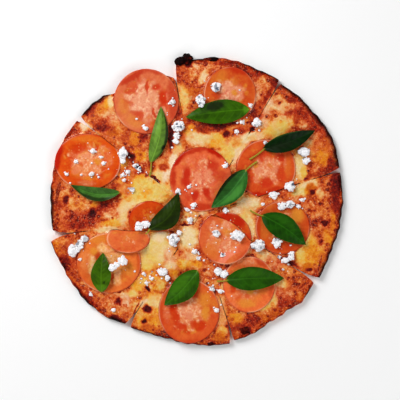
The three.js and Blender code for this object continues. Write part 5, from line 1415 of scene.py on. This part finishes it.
def surfaceHeight(x, y):
    # Highest of the cheese and the tomato slices at plan points.
    number, inset = placeInSlices(x, y)
    tones = bakedTones(x, y, inset, number, np.full(x.shape, 0.5))
    height = cheeseTop(x, y, inset, tones)
    for index, tomato in enumerate(tomatoSlices, 1):
        covers = tomatoCovers(tomato, x, y)
        pattern = tomatoPattern(tomato, x, y, index)
        height = np.where(covers, np.maximum(height, tomatoHeight(tomato, x, y, pattern)), height)
    return height


def makeSmallCrumbs(material):
    # One lump for each, with a few bits fallen off it.
    spots = np.array(smallCrumbs, float)
    x, y, size = spots.T
    z = surfaceHeight(x, y) + size * 0.08
    middles = np.stack([x, y, z], -1)
    sizes = np.stack([size * 0.82, size * 0.74, size * 0.65], -1)
    random = np.random.default_rng(77)
    parts = [lumpBalls(middles, sizes, 900 + np.arange(len(x)), *crumbForm["smallBall"])]
    count = crumbForm["bits"]
    angle = random.uniform(0, 2 * np.pi, (len(x), count))
    out = random.uniform(0.3, 0.6, (len(x), count))
    sx = (x[:, None] + size[:, None] * out * np.cos(angle)).reshape(-1)
    sy = (y[:, None] + size[:, None] * out * np.sin(angle)).reshape(-1)
    bit = (size[:, None] * random.uniform(0.2, 0.4, (len(x), count))).reshape(-1)
    middles = np.stack([sx, sy, surfaceHeight(sx, sy) + bit * 0.2], -1)
    sizes = np.stack([bit, bit * 0.9, bit * 0.8], -1)
    parts.append(lumpBalls(middles, sizes, 1200 + np.arange(len(sx)), *crumbForm["bitBall"]))
    points, faces = joinParts(parts)
    makePiece("smallCrumbs", points, faces, {"blue": blueVeins(points, 0.2)}, material)


def makeSpecks(material):
    # The finest crumbs: strewn round the larger ones, more of them close by.
    random = np.random.default_rng(78)
    centres = [lump[:2] for lumps in largeCrumbs for lump in lumps] + [spot[:2] for spot in smallCrumbs]
    centres = np.array(centres, float)
    count = crumbForm["specks"]
    pick = random.integers(0, len(centres), count)
    away = random.gamma(2.2, 3.2, count) + 2
    angle = random.uniform(0, 2 * np.pi, count)
    x, y = centres[pick, 0] + away * np.cos(angle), centres[pick, 1] + away * np.sin(angle)
    number, inset = placeInSlices(x, y)
    keep = (number > 0) & (inset > 8)
    x, y = x[keep], y[keep]
    size = random.gamma(3, 0.45, count)[keep].clip(0.5, 2.6)
    middles = np.stack([x, y, surfaceHeight(x, y) + size * 0.15], -1)
    sizes = np.stack([size, size * 0.85, size * 0.75], -1)
    points, faces = lumpBalls(middles, sizes, 2000 + np.arange(len(x)), *crumbForm["speckBall"])
    makePiece("fineCrumbs", points, faces, {"blue": blueVeins(points, 0.1)}, material)


whiteCrumb = crumbMaterial("blueVeinedCheese")
for index, lumps in enumerate(largeCrumbs, 1):
    makeCrumb(index, lumps, whiteCrumb)
makeSmallCrumbs(whiteCrumb)
makeSpecks(whiteCrumb)
print("crumbs made")


# Middle, size and blackness of each burst bubble of dough.
scorchedLumps = [
    [(-15, 134, 5), (11, 9, 8), 1],
    [(-8.5, 136.5, 5), (10, 10, 9), 1],
    [(15, 136, 4.5), (15, 5, 6), 1],
    [(46.5, -125.5, 4.5), (10, 8, 7), 0.75],
]


def makeScorchedLumps():
    # Rough balls on the rim, black but for a few brown places.
    middles, sizes, blackness = zip(*scorchedLumps)
    points, faces = lumpBalls(middles, sizes, [31, 32, 33, 34], 40, 56, 0.3)
    count = len(points)
    bare = layeredNoise(points[:, 0], points[:, 1], 4, 91)
    depth = np.repeat(blackness, count // len(scorchedLumps))
    values = {"melt": np.full(count, 0.12), "yellow": np.full(count, 0.2), "mottle": np.full(count, 0.1),
              "char": depth * smoothStep(-0.9, -0.1, bare)}
    makePiece("scorchedLumps", points, faces, values, crustMaterial)


makeScorchedLumps()
print("scorched lumps made")


studio = {
    # In metres. Soft boxes: name, place, size, power.
    "lights": [
        ("keyLight", (-0.75, 0.75, 0.9), 0.7, 18.5),
        ("fillLight", (0.9, -0.3, 0.8), 0.9, 5.5),
        ("backLight", (-0.2, -1.0, 0.7), 0.8, 3.5),
    ],
    "zenith": 0.05,             # strength of the surroundings straight up
    "horizon": 0.3,             # and near the horizon
    "floorHalf": 3.0,           # half the floor's width
    "camera": (3.47 * mm, 0, 0.911 + 7 * mm),
    "lens": 85,
}


def makeFloor():
    # A wide pale square under the pizza.
    far = studio["floorHalf"]
    mesh = bpy.data.meshes.new("studioFloor")
    corners = [(-far, -far, 0), (far, -far, 0), (far, far, 0), (-far, far, 0)]
    mesh.from_pydata(corners, [], [[0, 1, 2, 3]])
    material, _, shader = newMaterial("paleFloor", 0.9, 0.0)
    shader.inputs["Base Color"].default_value = (0.95, 0.95, 0.95, 1)
    mesh.materials.append(material)
    floor = bpy.data.objects.new("studioFloor", mesh)
    bpy.context.scene.collection.objects.link(floor)


def makeLights():
    # Square area lights, all turned to the middle.
    for name, place, size, power in studio["lights"]:
        data = bpy.data.lights.new(name, "AREA")
        data.size = size
        data.energy = power
        lamp = bpy.data.objects.new(name, data)
        lamp.location = place
        lamp.rotation_euler = (-Vector(place)).to_track_quat("-Z", "Y").to_euler()
        bpy.context.scene.collection.objects.link(lamp)


def makeWorld():
    # Surroundings whose strength falls from the horizon to straight up.
    world = bpy.data.worlds.new("studio")
    bpy.context.scene.world = world
    world.use_nodes = True
    tree = world.node_tree
    background = tree.nodes["Background"]
    place = tree.nodes.new("ShaderNodeTexCoord")
    split = tree.nodes.new("ShaderNodeSeparateXYZ")
    tree.links.new(place.outputs["Generated"], split.inputs[0])
    strength = rangeOf(tree, split.outputs["Z"], 0.2, 0.95, studio["horizon"], studio["zenith"])
    background.inputs["Color"].default_value = (1, 1, 1, 1)
    tree.links.new(strength, background.inputs["Strength"])


def makeCamera():
    # Straight above, looking down.
    data = bpy.data.cameras.new("cameraAbove")
    data.lens = studio["lens"]
    data.sensor_width = 36
    camera = bpy.data.objects.new("cameraAbove", data)
    camera.location = studio["camera"]
    bpy.context.scene.collection.objects.link(camera)
    bpy.context.scene.camera = camera


makeFloor()
makeLights()
makeWorld()
makeCamera()
bpy.context.scene.view_settings.view_transform = "Standard"
print("stage made")
